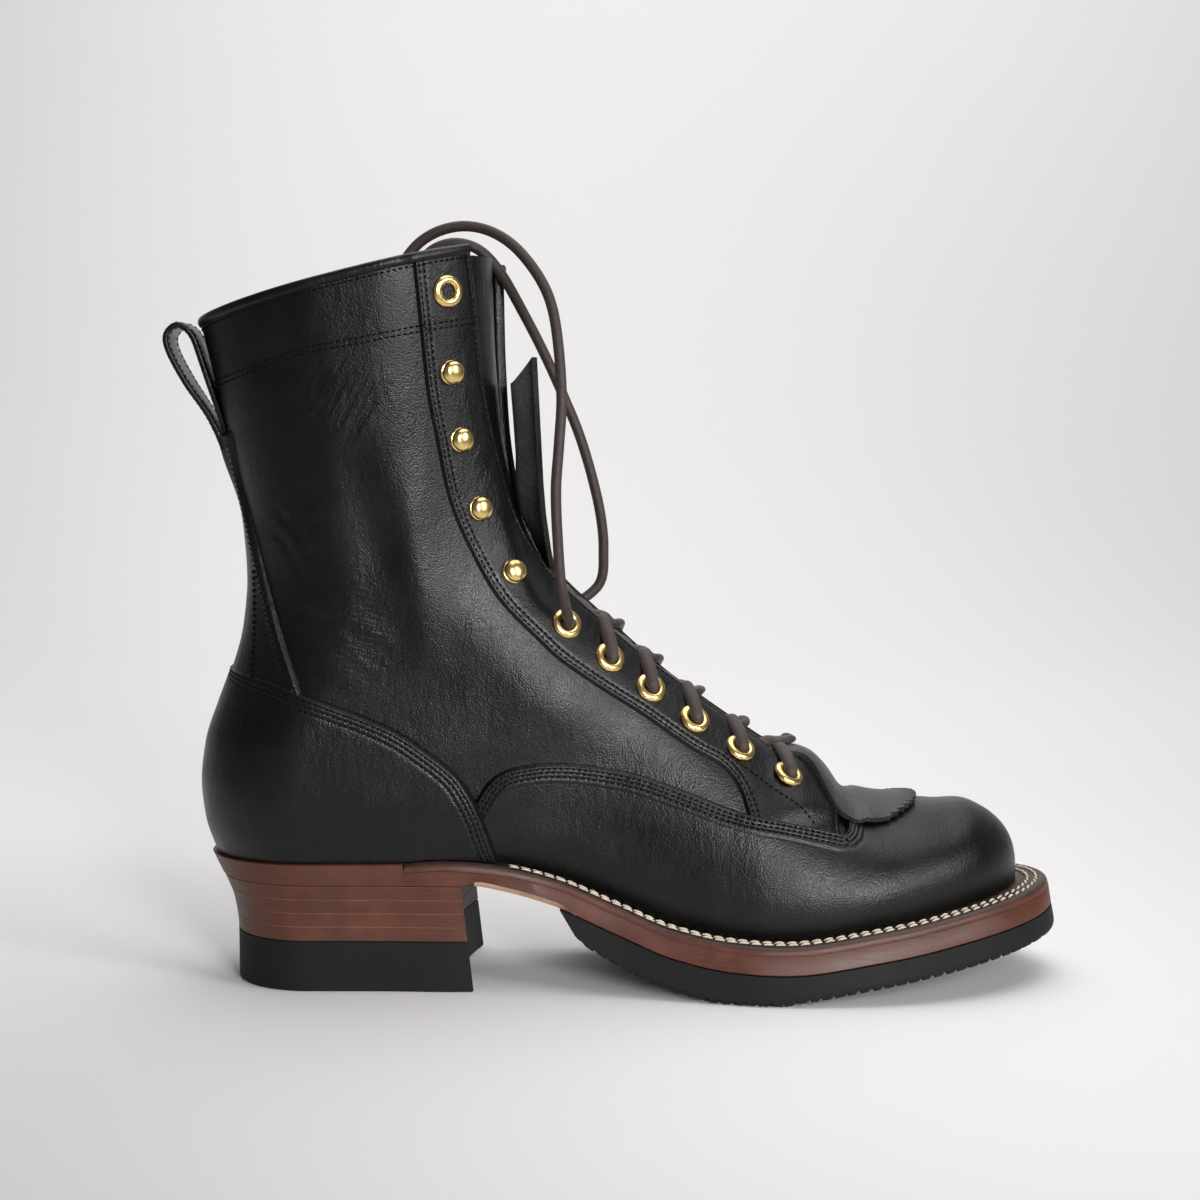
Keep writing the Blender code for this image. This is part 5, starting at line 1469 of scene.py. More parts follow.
@dataclass
class FalseTongue:
    """The tongue inside the throat and the fringed false tongue over it."""

    form: BootForm
    tongue_depth: Span = (6.0, 4.4)
    tongue_thick: float = 2.4
    tongue_points: tuple[int, int] = (90, 41)
    tongue_run: Span = (150.0, 180.0)
    leaf_thick: float = 1.9
    tongue: Table = Table("height half", (
        (66.5, 16), (75, 19), (85, 21), (100, 22), (116, 23), (130, 24), (145, 25), (162, 26), (180, 27), (198, 28),
        (216, 29), (234, 29.5), (256, 29.5)))
    # Near edge's station, height and half width of the free end's rows.
    free_end: Line = ((118.9, 221, 11), (119.2, 216, 12), (119.8, 204, 12.5), (120.7, 186, 12.5), (122, 166, 11.5))
    free_flare: float = 8.0
    free_taper: float = 0.3
    flare_run: Span = (-1.0, 0.2)
    strip: Table = Table("station half lift", (
        (129, 10, -2.6), (145, 9.6, -3.6), (168, 9.2, -3.6), (190, 9, -3.6), (200, 9, -1.8), (206, 9.2, 1.6),
        (211, 9.6, 5), (215, 13.5, 5.8), (219, 20, 5.5), (223, 25.5, 4.4), (228, 28, 2.4), (233, 28.6, 1.9),
        (238, 28, 1.7)))
    strip_rows: int = 44
    slant: float = 9.0
    slant_run: Span = (-1.0, 0.1)
    slant_heights: Span = (190.0, 219.0)
    tip: float = 255.6
    tip_drop: float = 12.0
    tip_rise: float = 1.1
    tip_narrowing: float = 3.0
    tip_rows: tuple[float, ...] = (0.15, 0.3, 0.45, 0.6, 0.72, 0.82, 0.9, 0.96, 1.0)
    side_rise: float = 1.5
    side_rise_run: Span = (217.0, 226.0)
    lobes: int = 15
    lobe_depth: float = 2.5
    lobe_spread: float = 0.4
    lobe_round: float = 0.7
    lobe_run: Span = (0.6, 1.0)
    columns_per_lobe: int = 8
    leaf_from: float = 226.0

    def inner_tongue(self) -> None:
        """The tongue that lines the throat."""
        rows, columns = self.tongue_points
        heights = np.linspace(self.tongue.rows[0][0], self.tongue.rows[-1][0], rows)
        half = self.tongue.smooth("half")(heights)
        shares = np.linspace(-1, 1, columns)
        station = np.broadcast_to(self.form.front(heights)[:, None], (rows, columns))
        across = half[:, None] * shares
        low, high = self.tongue_depth
        depth = (low + (high - low) * ramp(heights, *self.tongue_run))[:, None]
        skins = [self.form.over_ridge(station, across, -depth - down) for down in (0, self.tongue_thick)]
        shape = Shape()
        shape.sheet(*skins)
        make_piece("tongue_leather", shape, [FOLDED_LEATHER], ["tongue"])

    def skin(self, shares: Array, depth: float) -> Array:
        """One face of the false tongue, as rows from its free end to its fringe.

        Args:
            shares: shares of the half width, from -1 to 1.
            depth: how far below its outside.

        Returns:
            The rows of points.
        """
        rows = []
        for station, height, half in self.free_end:
            back = self.free_flare * ramp(shares, *self.flare_run)
            drop = self.slant * ramp(shares, *self.slant_run) * float(ramp(height, *self.slant_heights))
            across = float(self.form.axis(station)) + shares * (half - self.free_taper * depth)
            rows.append(np.column_stack([station - depth - back, across, height - drop]))
        half, lift = self.strip.smooth("half"), self.strip.smooth("lift")
        for station in np.linspace(self.strip.rows[0][0], self.strip.rows[-1][0], self.strip_rows):
            rise = self.side_rise * shares**2 * float(ramp(station, *self.side_rise_run))
            rows.append(self.form.over_ridge(station, half(station) * shares, float(lift(station)) + rise - depth))
        last, wide, low = self.strip.rows[-1]
        lobe = np.abs(np.sin(shares * self.lobes * math.pi / 2))
        for part in self.tip_rows:
            notch = self.lobe_depth * (1 + self.lobe_spread * shares**2) * (1 - lobe**self.lobe_round)
            notch = notch * float(ramp(part, *self.lobe_run))
            station = last + part * (self.tip - self.tip_drop * shares**2 - notch - last)
            across = shares * (wide - self.tip_narrowing * part)
            rise = self.tip_rise * part**2 + self.side_rise * shares**2 * (1 - part)
            rows.append(self.form.over_ridge(station, across, low + rise - depth))
        return bend_rows(np.array(rows), 2)

    def leaf(self) -> None:
        """The false tongue: a free upper end, a strip under the lace and a fringed leaf on the vamp."""
        shares = np.linspace(-1, 1, self.lobes * self.columns_per_lobe + 1)
        shape = Shape()
        outside, inside = self.skin(shares, 0.0), self.skin(shares, self.leaf_thick)
        shape.sheet(outside, inside, (0, 1))
        middle = outside[:-1, len(shares) // 2, 0]
        # The outside of the free end and of the strip under the lace takes the darker folded leather, a shaded copy of
        # the hide that is painted shade under the lace and in its folds. Only the leaf keeps the lighter grey of
        # painted sheen.
        painted_shade_faces = int((middle < self.leaf_from).sum()) * (len(shares) - 1)
        shape.marks[:painted_shade_faces] = [2] * painted_shade_faces
        finishes = [LEAF_LEATHER, FLESH_SIDE, FOLDED_LEATHER]
        make_piece("false_tongue", shape, finishes, ["kiltie"], smooth_angle=40)


@dataclass
class PullLoop:
    """The pull loop: a leather strap folded over on itself behind the shaft."""

    thread: Stitching
    route: Line = (
        (9.8, 188.5), (6, 203), (1, 219), (-2.6, 228.8), (-7.4, 232.4), (-11.4, 229.2), (-10.8, 223.4), (-5.2, 212.6),
        (2.6, 200.5), (7.8, 188.5))
    width: float = 20.0
    thick: float = 2.0
    round_over: float = 0.7
    narrowed: float = 0.6
    narrow_run: Span = (192.0, 214.0)
    stitch_inset: float = 2.2
    unsewn: int = 6

    def strap(self) -> None:
        """The strap, with rounded edges and a row of stitches along each."""
        line = through(self.route, 1.2)
        along = np.gradient(line, axis=0)
        normal = unit(np.column_stack([along[:, 1], -along[:, 0]]))
        half = self.thick / 2
        wide = self.narrowed + (1 - self.narrowed) * ramp(line[:, 1], *self.narrow_run)
        corner = np.linspace(0, math.pi / 2, 5)
        quarter = np.column_stack([np.cos(corner), np.sin(corner)]) * self.round_over
        section = []
        for flip_side, flip_up, order in ((1, 1, 1), (-1, 1, -1), (-1, -1, 1), (1, -1, -1)):
            bow = quarter[::order] + np.array([self.width / 2 - self.round_over, half - self.round_over])
            section += list(bow * np.array([flip_side, flip_up]))
        rings = []
        for (station, height), out, share in zip(line, normal, wide):
            rings.append([(station + up * out[0], across * share, height + up * out[1]) for across, up in section])
        shape = Shape()
        shape.capped(np.array(rings))
        inset = (self.width / 2 - self.stitch_inset) * wide
        for across in (-inset, inset):
            for up in (half, -half):
                rows = [np.column_stack([line[:, 0] + lift * normal[:, 0], across, line[:, 1] + lift * normal[:, 1]])
                        for lift in (up, 2 * up)]
                self.thread.row(*(row[self.unsewn:-self.unsewn] for row in rows))
        make_piece("pull_strap", shape, [FOLDED_LEATHER], ["pull_loop"], smooth_angle=50)


class FittingKind(Enum):
    """The two kinds of lace fitting."""

    EYELET = "eyelet"
    HOOK = "hook"


@dataclass
class Lacing:
    """Brass fittings, the lace's crossings and its two free ends."""

    form: BootForm
    facing: float = 1.4
    lace_radius: float = 1.9
    laced: int = 6
    lace_sides: int = 16
    # Stations and heights: the six laced eyelets and the one at the top, then the hooks.
    eyelets: Line = (
        (206.4, 73.6), (189.8, 83.5), (173.6, 93.8), (158.2, 104.8), (143.8, 115.7), (128.8, 127.8), (88.5, 242.7))
    hooks: Line = ((110.3, 146.3), (98.8, 168.6), (92.6, 192.4), (89.6, 215.4))
    seat_lift: float = 0.1
    # Radius and height above the leather, round each fitting's profile.
    eyelet_profile: Line = (
        (2.6, -0.8), (2.6, 0.45), (2.72, 0.9), (3.05, 1.25), (3.6, 1.45), (4.3, 1.4), (4.95, 1.15), (5.4, 0.75),
        (5.6, 0.3), (5.6, -0.3))
    hook_profile: Line = (
        (4.2, -0.3), (4.2, 0.2), (4, 0.4), (3.1, 0.5), (2.7, 0.6), (2.7, 0.8), (3.5, 0.9), (3.95, 1.1), (4.1, 1.5),
        (4, 2.1), (3.65, 2.7), (3, 3.2), (2.15, 3.52), (1.2, 3.68), (0.5, 3.74), (0.02, 3.75))
    turns: int = 40
    outer_end: Line = (
        (127.8, -32.4, 141), (126.5, -33, 157.8), (125.9, -33, 175), (126.9, -32, 190), (127.8, -29, 206),
        (126.8, -25, 223.2), (124.4, -20, 238), (119.8, -15, 248.6), (111.6, -10, 259), (102.6, -6, 265),
        (93, -4, 267), (83.4, -3, 265), (75.6, -2, 259.8), (70.4, -2, 251.6), (69, -2, 242))
    inner_end: Line = (
        (140.8, 29, 138), (142.3, 28, 150.9), (141.2, 27, 163.7), (137.9, 26, 178.5), (133.4, 25, 193.3),
        (128.2, 24, 206.1), (120.9, 21, 222.4), (113.4, 15, 237.2), (105.2, 8, 251.6), (97.4, 5, 259.6),
        (88, 4.5, 261.6), (79.4, 5, 257.6), (76, 5, 248))
    end_lifts: tuple[float, ...] = (-1.6, 1.6, 3.4)
    end_step: float = 2.0
    lace_halves: Span = (2.4, 1.6)
    # How far behind its eyelet an outer and an inner strand cross the facing's edge.
    trail: Span = (2.9, -2.6)
    outer_drop: float = 1.9
    over_leaf: float = 3.6
    first_trail: float = 2.0
    eyelet_lifts: Span = (-0.8, -0.2)
    # A strand on its facing: share of the way to the edge and height.
    on_facing: Line = ((0.4, 0.2), (0.75, -0.2), (1, -0.7))
    edge_sink: float = 0.6
    # A strand over the throat: how far back, throat half widths from the axis, millimetres more, and height.
    over_throat: Line = ((0.2, 1, -2.6, 0.2), (2, 1, -5, -1.6), (5, 0, 0, -2), (8, -1, 3, -2.2), (9.5, -1, -1.5, -4))
    ridge_shift: float = 1.7

    def stand(self, side: Side, station: float, height: float, lift: float) -> tuple[Array, Array]:
        """Place and axes of a fitting on the facing.

        Args:
            side: the side of the foot.
            station: the fitting's station.
            height: its height.
            lift: how far above the upper.

        Returns:
            The place, and the axes as columns.
        """
        at = self.form.place(side, station, height, 0.0)
        out = unit(self.form.place(side, station, height, 1.0) - at)
        first = unit(np.cross(out, (0.0, 0.0, 1.0)))
        lift = lift + float(self.form.facing_rise(station, height))
        return at + lift * out, np.column_stack([first, np.cross(out, first), out])

    def metal(self, kind: FittingKind) -> None:
        """All fittings of one kind, turned and set on the facings.

        Args:
            kind: which kind.
        """
        shape = Shape()
        eyelets = kind is FittingKind.EYELET
        profile = np.array(self.eyelet_profile if eyelets else self.hook_profile)
        turn = np.linspace(0, 2 * math.pi, self.turns, endpoint=False)
        names = []
        for side in Side:
            for number, (station, height) in enumerate(self.eyelets if eyelets else self.hooks, 1):
                origin, axes = self.stand(side, station, height, self.facing + self.seat_lift)
                radius, up = profile[:, :1], np.broadcast_to(profile[:, 1:], (len(profile), self.turns))
                rings = np.stack([radius * np.cos(turn), radius * np.sin(turn), up], axis=-1) @ axes.T + origin
                if eyelets:
                    shape.grid(np.concatenate([rings, rings[:1]]), around=True)
                else:
                    shape.capped(rings)
                names.append(f"{kind.value}_{side.name.lower()}_{number}")
        make_piece(f"{kind.value}_set", shape, [AGED_BRASS], names, 50)

    def strand(self, side: Side, index: int) -> tuple[Array, Array]:
        """One strand of a crossing: out of its eyelet, over the facing's edge and under the far facing.

        Args:
            side: the side that its eyelet is on.
            index: which eyelet it comes out of.

        Returns:
            The strand's middle line, and the way out of the boot at each of its points.
        """
        station, height = self.eyelets[index]
        rise = float(self.form.facing_rise(station, height))
        edge = self.form.throat_edge(side)
        passing = station - self.trail[side is Side.INNER] - self.first_trail * (index == 0 and side is Side.INNER)
        top = float(np.interp(passing, edge[:, 0], edge[:, 1]))
        above = self.facing + self.lace_halves[1]
        gap = float(self.form.throat_half[side](self.form.roof(passing)))
        low, high = self.eyelet_lifts
        route = [self.stand(side, station, height, lift)[0] for lift in (low, above + high)]
        drop = self.outer_drop if side is Side.OUTER else -self.over_leaf * (index == 0)
        for share, lift in self.on_facing:
            at = station + share * (passing - station), height + share * (top - height)
            route.append(self.form.place(side, *at, above + lift + rise - self.edge_sink * drop * share**2))
        for back, halves, more, lift in self.over_throat:
            from_axis = halves * gap + more
            over = lift + rise * (from_axis > 0) - drop
            route.append(self.form.over_ridge(passing + self.ridge_shift - back, side * from_axis, over)[0])
        line = through(route, 0.7)
        middle = np.array([float(self.form.axis(station)), self.form.search_depth / 2])
        ups = np.column_stack([0.5 * np.ones(len(line)), line[:, 1] - middle[0], np.full(len(line), middle[1])])
        return line, unit(ups)

    def crossings(self) -> None:
        """The lace's crossings over the throat."""
        shape = Shape()
        for index in range(self.laced - 1):
            for side in Side:
                shape.tube(*self.strand(side, index), self.lace_halves, self.lace_sides)
        names = [f"lace_crossing_{k}" for k in range(1, self.laced)]
        make_piece("lace_strands", shape, [ROLLED_LACE], names)

    def end(self, side: Side) -> None:
        """A free end of the lace, from the sixth eyelet up and over into the shaft.

        Args:
            side: the side of the foot.
        """
        route = self.outer_end if side is Side.OUTER else self.inner_end
        station, height = self.eyelets[self.laced - 1]
        start = [self.stand(side, station, height, lift)[0] for lift in self.end_lifts]
        line = to_world(through([*start, *route], self.end_step))
        name = f"lace_end_{side.name.lower()}"
        data = bpy.data.curves.new(name + "_cord", "CURVE")
        data.dimensions = "3D"
        data.bevel_depth = self.lace_radius * MM
        data.bevel_resolution = 4
        data.use_fill_caps = True
        spline = data.splines.new("POLY")
        spline.points.add(len(line) - 1)
        for point, at in zip(spline.points, line):
            point.co = (*at, 1.0)
        data.materials.append(ROLLED_LACE.material())
        cord = bpy.data.objects.new(name + "_cord", data)
        settle(cord, [name])


@dataclass
class Sole:
    """The bottom: welt, midsole, rubber sole and stacked heel."""

    form: BootForm
    thread: Stitching
    count: int = 181
    welt_rear: float = 73.0
    welt_thick: float = 3.2
    flare: float = 0.15
    flare_from: float = 90.0
    flare_full: float = 150.0
    stack_top: float = 37.4
    top_lift: float = 18.0
    lifts: int = 4
    breast_station: float = 92.6
    breast_slope: float = 0.115
    breast_hollow: float = 5.0
    stack_front: float = 97.0
    heel_fade_end: float = 125.0
    rubber_top: float = 127.0
    rubber_bottom: float = 134.7
    lug_pitch: float = 4.3
    lug_width: float = 1.3
    lug_depth: float = 0.9
    stitch_from: float = 108.0
    stitch_rows: Span = (4.3, 7.4)
    # How far above the tread the edges of welt, midsole and heel are measured.
    welt_above: float = 19.0
    midsole_above: float = 17.0
    heel_above: float = 10.0
    # How far inside the edge, where None is the feather line, and how far above the welt's top face.
    welt_section: tuple[tuple[float | None, float], ...] = (
        (None, 0.0), (10.0, 0.0), (9.3, -0.1), (8.9, -0.4), (5.9, -0.3), (3.2, -0.4), (2.9, -0.1), (2.5, -0.1),
        (1.6, -0.4), (0.9, -0.8), (0.4, -1.3), (0.1, -2.0), (0.0, -2.8), (0.0, -3.2), (None, -3.2))
    welt_top_spans: int = 10
    welt_least: float = 0.05
    waist_start: Span = (92.0, 99.0)
    waist_end: Span = (127.0, 134.0)
    raw_run: Span = (95.0, 131.0)
    chamfers: Span = (0.4, 1.7)
    # Rise above the tread, inset from the edge and share of the grooves' depth. The first is the top face.
    rubber_section: Line = ((9.6, 0, 0), (3, 0, 0), (1.5, 0.1, 0.3), (0.6, 0.5, 0.8), (0, 1.5, 1))
    rubber_step: float = 0.55
    rubber_toe: float = 292.0
    rubber_toe_points: int = 20
    lugs_end: float = 300.0
    heel_points: int = 45
    breast_points: int = 18
    lift_rows: int = 4
    lift_gap: float = 0.02
    lift_chamfer: float = 0.13
    rubber_gap: float = 0.1
    rubber_chamfer: float = 0.5
    tread: Table = Table("station height", (
        (127, 22.5), (147, 11), (157, 6.6), (167, 3.3), (177, 0.9), (185, 0), (203, 0), (211, 1.2), (242, 6.3),
        (287, 13.6), (307, 17)))
    heel_side: Table = Table("height back flank", (
        (0, 9.3, 1.8), (18, 9.3, 1.8), (28.6, 7.7, 1.4), (36, 4.6, 0.8), (45, 0, 0)))

    def __post_init__(self) -> None:
        """Draw the feather line in plan and the directions square to it."""
        turn = np.linspace(0, math.pi, self.count)
        span = self.form.toe_tip - self.form.heel_feather
        self.stations = self.form.heel_feather + span * (1 - np.cos(turn)) / 2
        smooth = BootForm(creases=())
        low = self.form.feather(self.stations)
        self.plan = {side: smooth.place(side, self.stations, low)[:, :2] for side in Side}
        loop = np.vstack([self.plan[Side.OUTER], self.plan[Side.INNER][-2:0:-1]])
        along = np.roll(loop, -1, axis=0) - np.roll(loop, 1, axis=0)
        normal = unit(np.column_stack([along[:, 1], -along[:, 0]]))
        inner = np.vstack([normal[:1], normal[self.count:][::-1], normal[self.count - 1:self.count]])
        self.normals = {Side.OUTER: normal[:self.count], Side.INNER: inner}
        self.ground = self.tread.smooth("height")
        self.heel_back = self.heel_side.smooth("back")
        self.heel_flank = self.heel_side.smooth("flank")

    def outset(self, side: Side, amount: Values) -> Array:
        """The feather line moved out in plan by an amount for each of its points."""
        amount = np.broadcast_to(amount, self.stations.shape)
        return self.plan[side] + amount[:, None] * self.normals[side]

    def edge(self, side: Side, above_tread: float, inset: float = 0.0) -> Array:
        """The sole's edge in plan at a height above the tread.

        Args:
            side: the side of the foot.
            above_tread: the height above the tread.
            inset: how far inside the edge.

        Returns:
            Stations and side distances.
        """
        drawn_in = self.flare * above_tread * ramp(self.stations, self.flare_from, self.flare_full)
        margin = self.form.margin(self.stations * self.form.sole.rows[-1][0] / self.form.toe_tip)
        return self.outset(side, margin - drawn_in - inset)

    def heel_edge(self, side: Side, height: float, inset: Values = 0.0) -> Array:
        """The heel's side in plan at a height, drawn in below the sole's rim and fading out ahead of it.

        Args:
            side: the side of the foot.
            height: the height above the floor.
            inset: how far inside.

        Returns:
            Stations and side distances.
        """
        normal = self.normals[side]
        drawn = self.heel_back(height) * normal[:, 0] ** 2 + self.heel_flank(height) * normal[:, 1] ** 2
        drawn = drawn * (1 - ramp(self.stations, self.stack_front, self.heel_fade_end)) + inset
        return self.edge(side, self.heel_above) - drawn[:, None] * normal

    @staticmethod
    def layer(shape: Shape, rings: Sequence[dict[Side, Array]], marks: Sequence[Array | int]) -> None:
        """Add a sole layer.

        Args:
            shape: where the layer goes.
            rings: its outline from the top face to the bottom one, each with an outer and an inner half.
            marks: the finish of the faces between each two rings, as one mark or a mark for each span.
        """
        for side in Side:
            for upper, lower, mark in zip(rings, rings[1:], marks):
                strip = np.stack([upper[side], lower[side]])
                faces = grid_faces(*strip.shape[:2])
                spans = np.broadcast_to(mark, (len(faces),))
                for kind in np.unique(spans):
                    shape.add(strip, faces[spans == kind], int(kind))
        for ring in (rings[0], rings[-1]):
            shape.grid(np.stack([ring[Side.OUTER], ring[Side.INNER]]), int(np.ravel(marks[0])[0]))
        for end in (0, -1):
            ends = [np.stack([ring[Side.OUTER][end], ring[Side.INNER][end]]) for ring in rings]
            shape.grid(np.stack(ends), int(np.ravel(marks[0])[0]))

    def welt(self) -> None:
        """The welt, with a rounded edge, a channel for the stitches and two rows of cream thread."""
        first = int(np.searchsorted(self.stations, self.welt_rear + 0.2))
        rings = []
        for inside, rise in self.welt_section:
            halves = []
            for side in Side:
                line = deepest = self.outset(side, -WALL - GAP)
                if inside is not None:
                    line = self.edge(side, self.welt_above, inside)
                    out = np.sum((line - deepest) * self.normals[side], axis=1)
                    least = deepest + self.welt_least * self.normals[side]
                    line = np.where(out[:, None] < self.welt_least, least, line)
                ring = np.column_stack([line, self.form.seat(line[:, 0]) + rise])
                share = (self.welt_rear - ring[first - 1, 0]) / (ring[first, 0] - ring[first - 1, 0])
                butt = ring[first - 1] + np.clip(share, 0, 1) * (ring[first] - ring[first - 1])
                halves.append(np.vstack([butt, ring[first:]]))
            rings.append(np.vstack([halves[0], halves[1][-2::-1]]))
        shape = Shape()
        loop = np.stack(rings, axis=1)
        faces = grid_faces(*loop.shape[:2], around=True)
        column = np.arange(len(faces)) % len(self.welt_section)
        shape.add(loop, faces[column < self.welt_top_spans], 0)
        shape.add(loop, faces[column >= self.welt_top_spans], 1)
        for end in (0, -1):
            shape.add(loop[end], [range(len(self.welt_section))], 1)
        self.sew_welt()
        make_piece("welt_strip", shape, [WELT_TOP, SOLE_EDGE], ["welt"])

    def sew_welt(self) -> None:
        """Sew the two rows that show on the welt, from the waist round the toe."""
        first = int(np.searchsorted(self.stations, self.stitch_from))
        for inset in self.stitch_rows:
            lines = []
            for up in (-0.05, 1.0):
                halves = []
                for side in Side:
                    line = self.edge(side, self.welt_above, inset)
                    halves.append(np.column_stack([line, self.form.seat(line[:, 0]) + up])[first:])
                lines.append(np.vstack([halves[0], halves[1][-2::-1]]))
            self.thread.row(*lines)

    def midsole(self) -> None:
        """The leather midsole: the heel seat's rim, the waist's band with its raw lower edge, and the edge ahead."""
        extra = (self.welt_rear - 1.0, self.welt_rear)
        waist = ramp(self.stations, *self.waist_start) - ramp(self.stations, *self.waist_end)
        chamfer = self.chamfers[0] + self.chamfers[1] * waist
        rings: list[dict[Side, Array]] = []
        plan = (("top", 0.5, 0.0), ("top", 0.15, -0.05), ("top", 0.0, -0.2), ("low", 0.0, 1.0), ("low", 1.0, 0.0))
        for place, inset, rise in plan:
            ring = {}
            for side in Side:
                if place == "top":
                    line = self.edge(side, self.midsole_above, inset)
                else:
                    line = self.heel_edge(side, self.stack_top + rise, inset * chamfer)
                stations = np.sort(np.append(line[:, 0], extra))
                across = np.interp(stations, line[:, 0], line[:, 1])
                if place == "top":
                    lowered = self.form.seat(stations) - self.welt_thick - 0.02
                    height = np.where(stations < self.welt_rear - 0.5, self.form.seat(stations), lowered) + rise
                else:
                    height = self.form.band(stations) + rise * np.interp(stations, line[:, 0], chamfer)
                ring[side] = np.column_stack([stations, across, height])
            rings.append(ring)
        stations = rings[-1][Side.OUTER][:-1, 0]
        raw = np.where((stations > self.raw_run[0]) & (stations < self.raw_run[1]), 1, 0)
        shape = Shape()
        self.layer(shape, rings, (0, 0, 0, raw))
        make_piece("midsole_edge", shape, [SOLE_EDGE, RAW_EDGE], ["midsole"], 40)

    def outsole(self) -> None:
        """The rubber forefoot sole, with a rounded lower edge and grooves across its tread."""
        toe = self.edge(Side.OUTER, 0.0)[-1, 0]
        ahead = toe - (toe - self.rubber_toe) * (1 - np.sin(np.linspace(0, math.pi / 2, self.rubber_toe_points)))
        plain = np.arange(self.rubber_bottom, self.rubber_toe, self.rubber_step)
        low_stations = np.unique(np.concatenate([plain, ahead, [toe]]))
        share = (low_stations - low_stations[0]) / (toe - low_stations[0])
        phase = (low_stations - self.rubber_bottom) % self.lug_pitch
        groove = np.where(phase < self.lug_width, self.lug_depth, 0.0) * (low_stations < self.lugs_end)
        rings = []
        top = self.rubber_section[0][0]
        for rise, inset, cut in self.rubber_section:
            ring = {}
            for side in Side:
                line = self.edge(side, rise, inset)
                tip = line[-1, 0]
                rear = self.rubber_bottom + (self.rubber_top - self.rubber_bottom) * rise / top
                stations = rear + share * (tip - rear)
                across = np.interp(stations, line[:, 0], line[:, 1])
                if rise == top:
                    height = self.form.band(stations) - GAP
                else:
                    height = self.ground(low_stations) + rise + cut * groove
                ring[side] = np.column_stack([stations, across, height])
            rings.append(ring)
        shape = Shape()
        self.layer(shape, rings, (0, 0, 0, 0))
        make_piece("rubber_sole", shape, [SOLE_RUBBER], ["outsole"], 35)

    def heel_ring(self, height: float, inset: float) -> Array:
        """The heel's outline at a height: round the back from breast corner to corner, then along the breast.

        Args:
            height: the height above the floor.
            inset: how far inside.

        Returns:
            The points in order.
        """
        breast = self.breast_station + self.breast_slope * (self.stack_top - height) - inset
        halves = {}
        for side in Side:
            line = self.heel_edge(side, height, inset)
            turn = 1 - np.cos(np.linspace(0, math.pi / 2, self.heel_points))
            stations = line[0, 0] + (breast - line[0, 0]) * turn
            halves[side] = np.column_stack([stations, np.interp(stations, line[:, 0], line[:, 1])])
        start, end = halves[Side.INNER][-1], halves[Side.OUTER][-1]
        share = np.linspace(0, 1, self.breast_points)[1:-1, None]
        along = start + (end - start) * share
        along[:, :1] -= self.breast_hollow * 4 * share * (1 - share)
        ring = np.vstack([halves[Side.OUTER][::-1], halves[Side.INNER][1:], along])
        return np.column_stack([ring, np.full(len(ring), height)])

    def lift(self, shape: Shape, top: float, bottom: float, chamfer: float, edge_mark: int, breast_mark: int) -> None:
        """Add one layer of the heel, with small chamfers along its edges.

        Args:
            shape: where it goes.
            top: height of its top.
            bottom: height of its underside.
            chamfer: size of the chamfers.
            edge_mark: finish of the chamfers.
            breast_mark: finish of the breast.
        """
        heights = np.linspace(top - chamfer, bottom + chamfer, self.lift_rows)
        plan = [(top, chamfer), *((height, 0.0) for height in heights), (bottom, chamfer)]
        rings = np.stack([self.heel_ring(height, inset) for height, inset in plan])
        columns = rings.shape[1]
        faces = grid_faces(len(plan), columns, around=True)
        row, column = np.divmod(np.arange(len(faces)), columns)
        on_breast = column >= 2 * self.heel_points - 2
        on_edge = ((row == 0) | (row == len(plan) - 2)) & ~on_breast
        for chosen, mark in ((on_breast, breast_mark), (on_edge, edge_mark), (~on_breast & ~on_edge, 0)):
            shape.add(rings, faces[chosen], mark)
        half = self.heel_points
        share = np.linspace(0, 1, self.breast_points)[:, None]
        for ring in (rings[0], rings[-1]):
            outer, inner = ring[:half][::-1], ring[half - 1:2 * half - 1]
            lines = outer[:, None] + (inner - outer)[:, None] * share
            depth = (outer[:, 0] - outer[0, 0]) / (outer[-1, 0] - outer[0, 0])
            lines[..., 0] -= self.breast_hollow * 4 * (share * (1 - share)).T * depth[:, None]
            shape.grid(lines)

    def heel(self) -> None:
        """The stacked leather lifts, and the rubber lift that meets the floor."""
        stack = Shape()
        each = (self.stack_top - self.top_lift) / self.lifts
        for k in range(self.lifts):
            top = self.stack_top - k * each
            self.lift(stack, top - self.lift_gap, top - each + self.lift_gap, self.lift_chamfer, 1, 2)
        names = [f"heel_lift_{k}" for k in range(1, self.lifts + 1)]
        make_piece("heel_stack", stack, [SOLE_EDGE, WORN_EDGE, BREAST_EDGE], names, 30)
        rubber = Shape()
        self.lift(rubber, self.top_lift - self.rubber_gap, 0.0, self.rubber_chamfer, 0, 0)
        make_piece("heel_rubber", rubber, [SOLE_RUBBER], ["heel_top_lift"], 30)


@dataclass(frozen=True)
class SoftLight:
    """An area light: its place, what it faces, its size in metres, its watts and its spread in degrees."""

    name: str
    at: tuple[float, float, float]
    to: tuple[float, float, float]
    width: float
    height: float
    watts: float
    spread: float

    def hang(self) -> None:
        """Put the light into the scene."""
        data = bpy.data.lights.new(self.name, "AREA")
        data.shape = "RECTANGLE"
        data.size, data.size_y, data.energy = self.width, self.height, self.watts
        data.spread = math.radians(self.spread)
        lamp = bpy.data.objects.new(self.name, data)
        lamp.location = self.at
        lamp.rotation_euler = (Vector(self.to) - Vector(self.at)).to_track_quat("-Z", "Y").to_euler()
        bpy.context.scene.collection.objects.link(lamp)


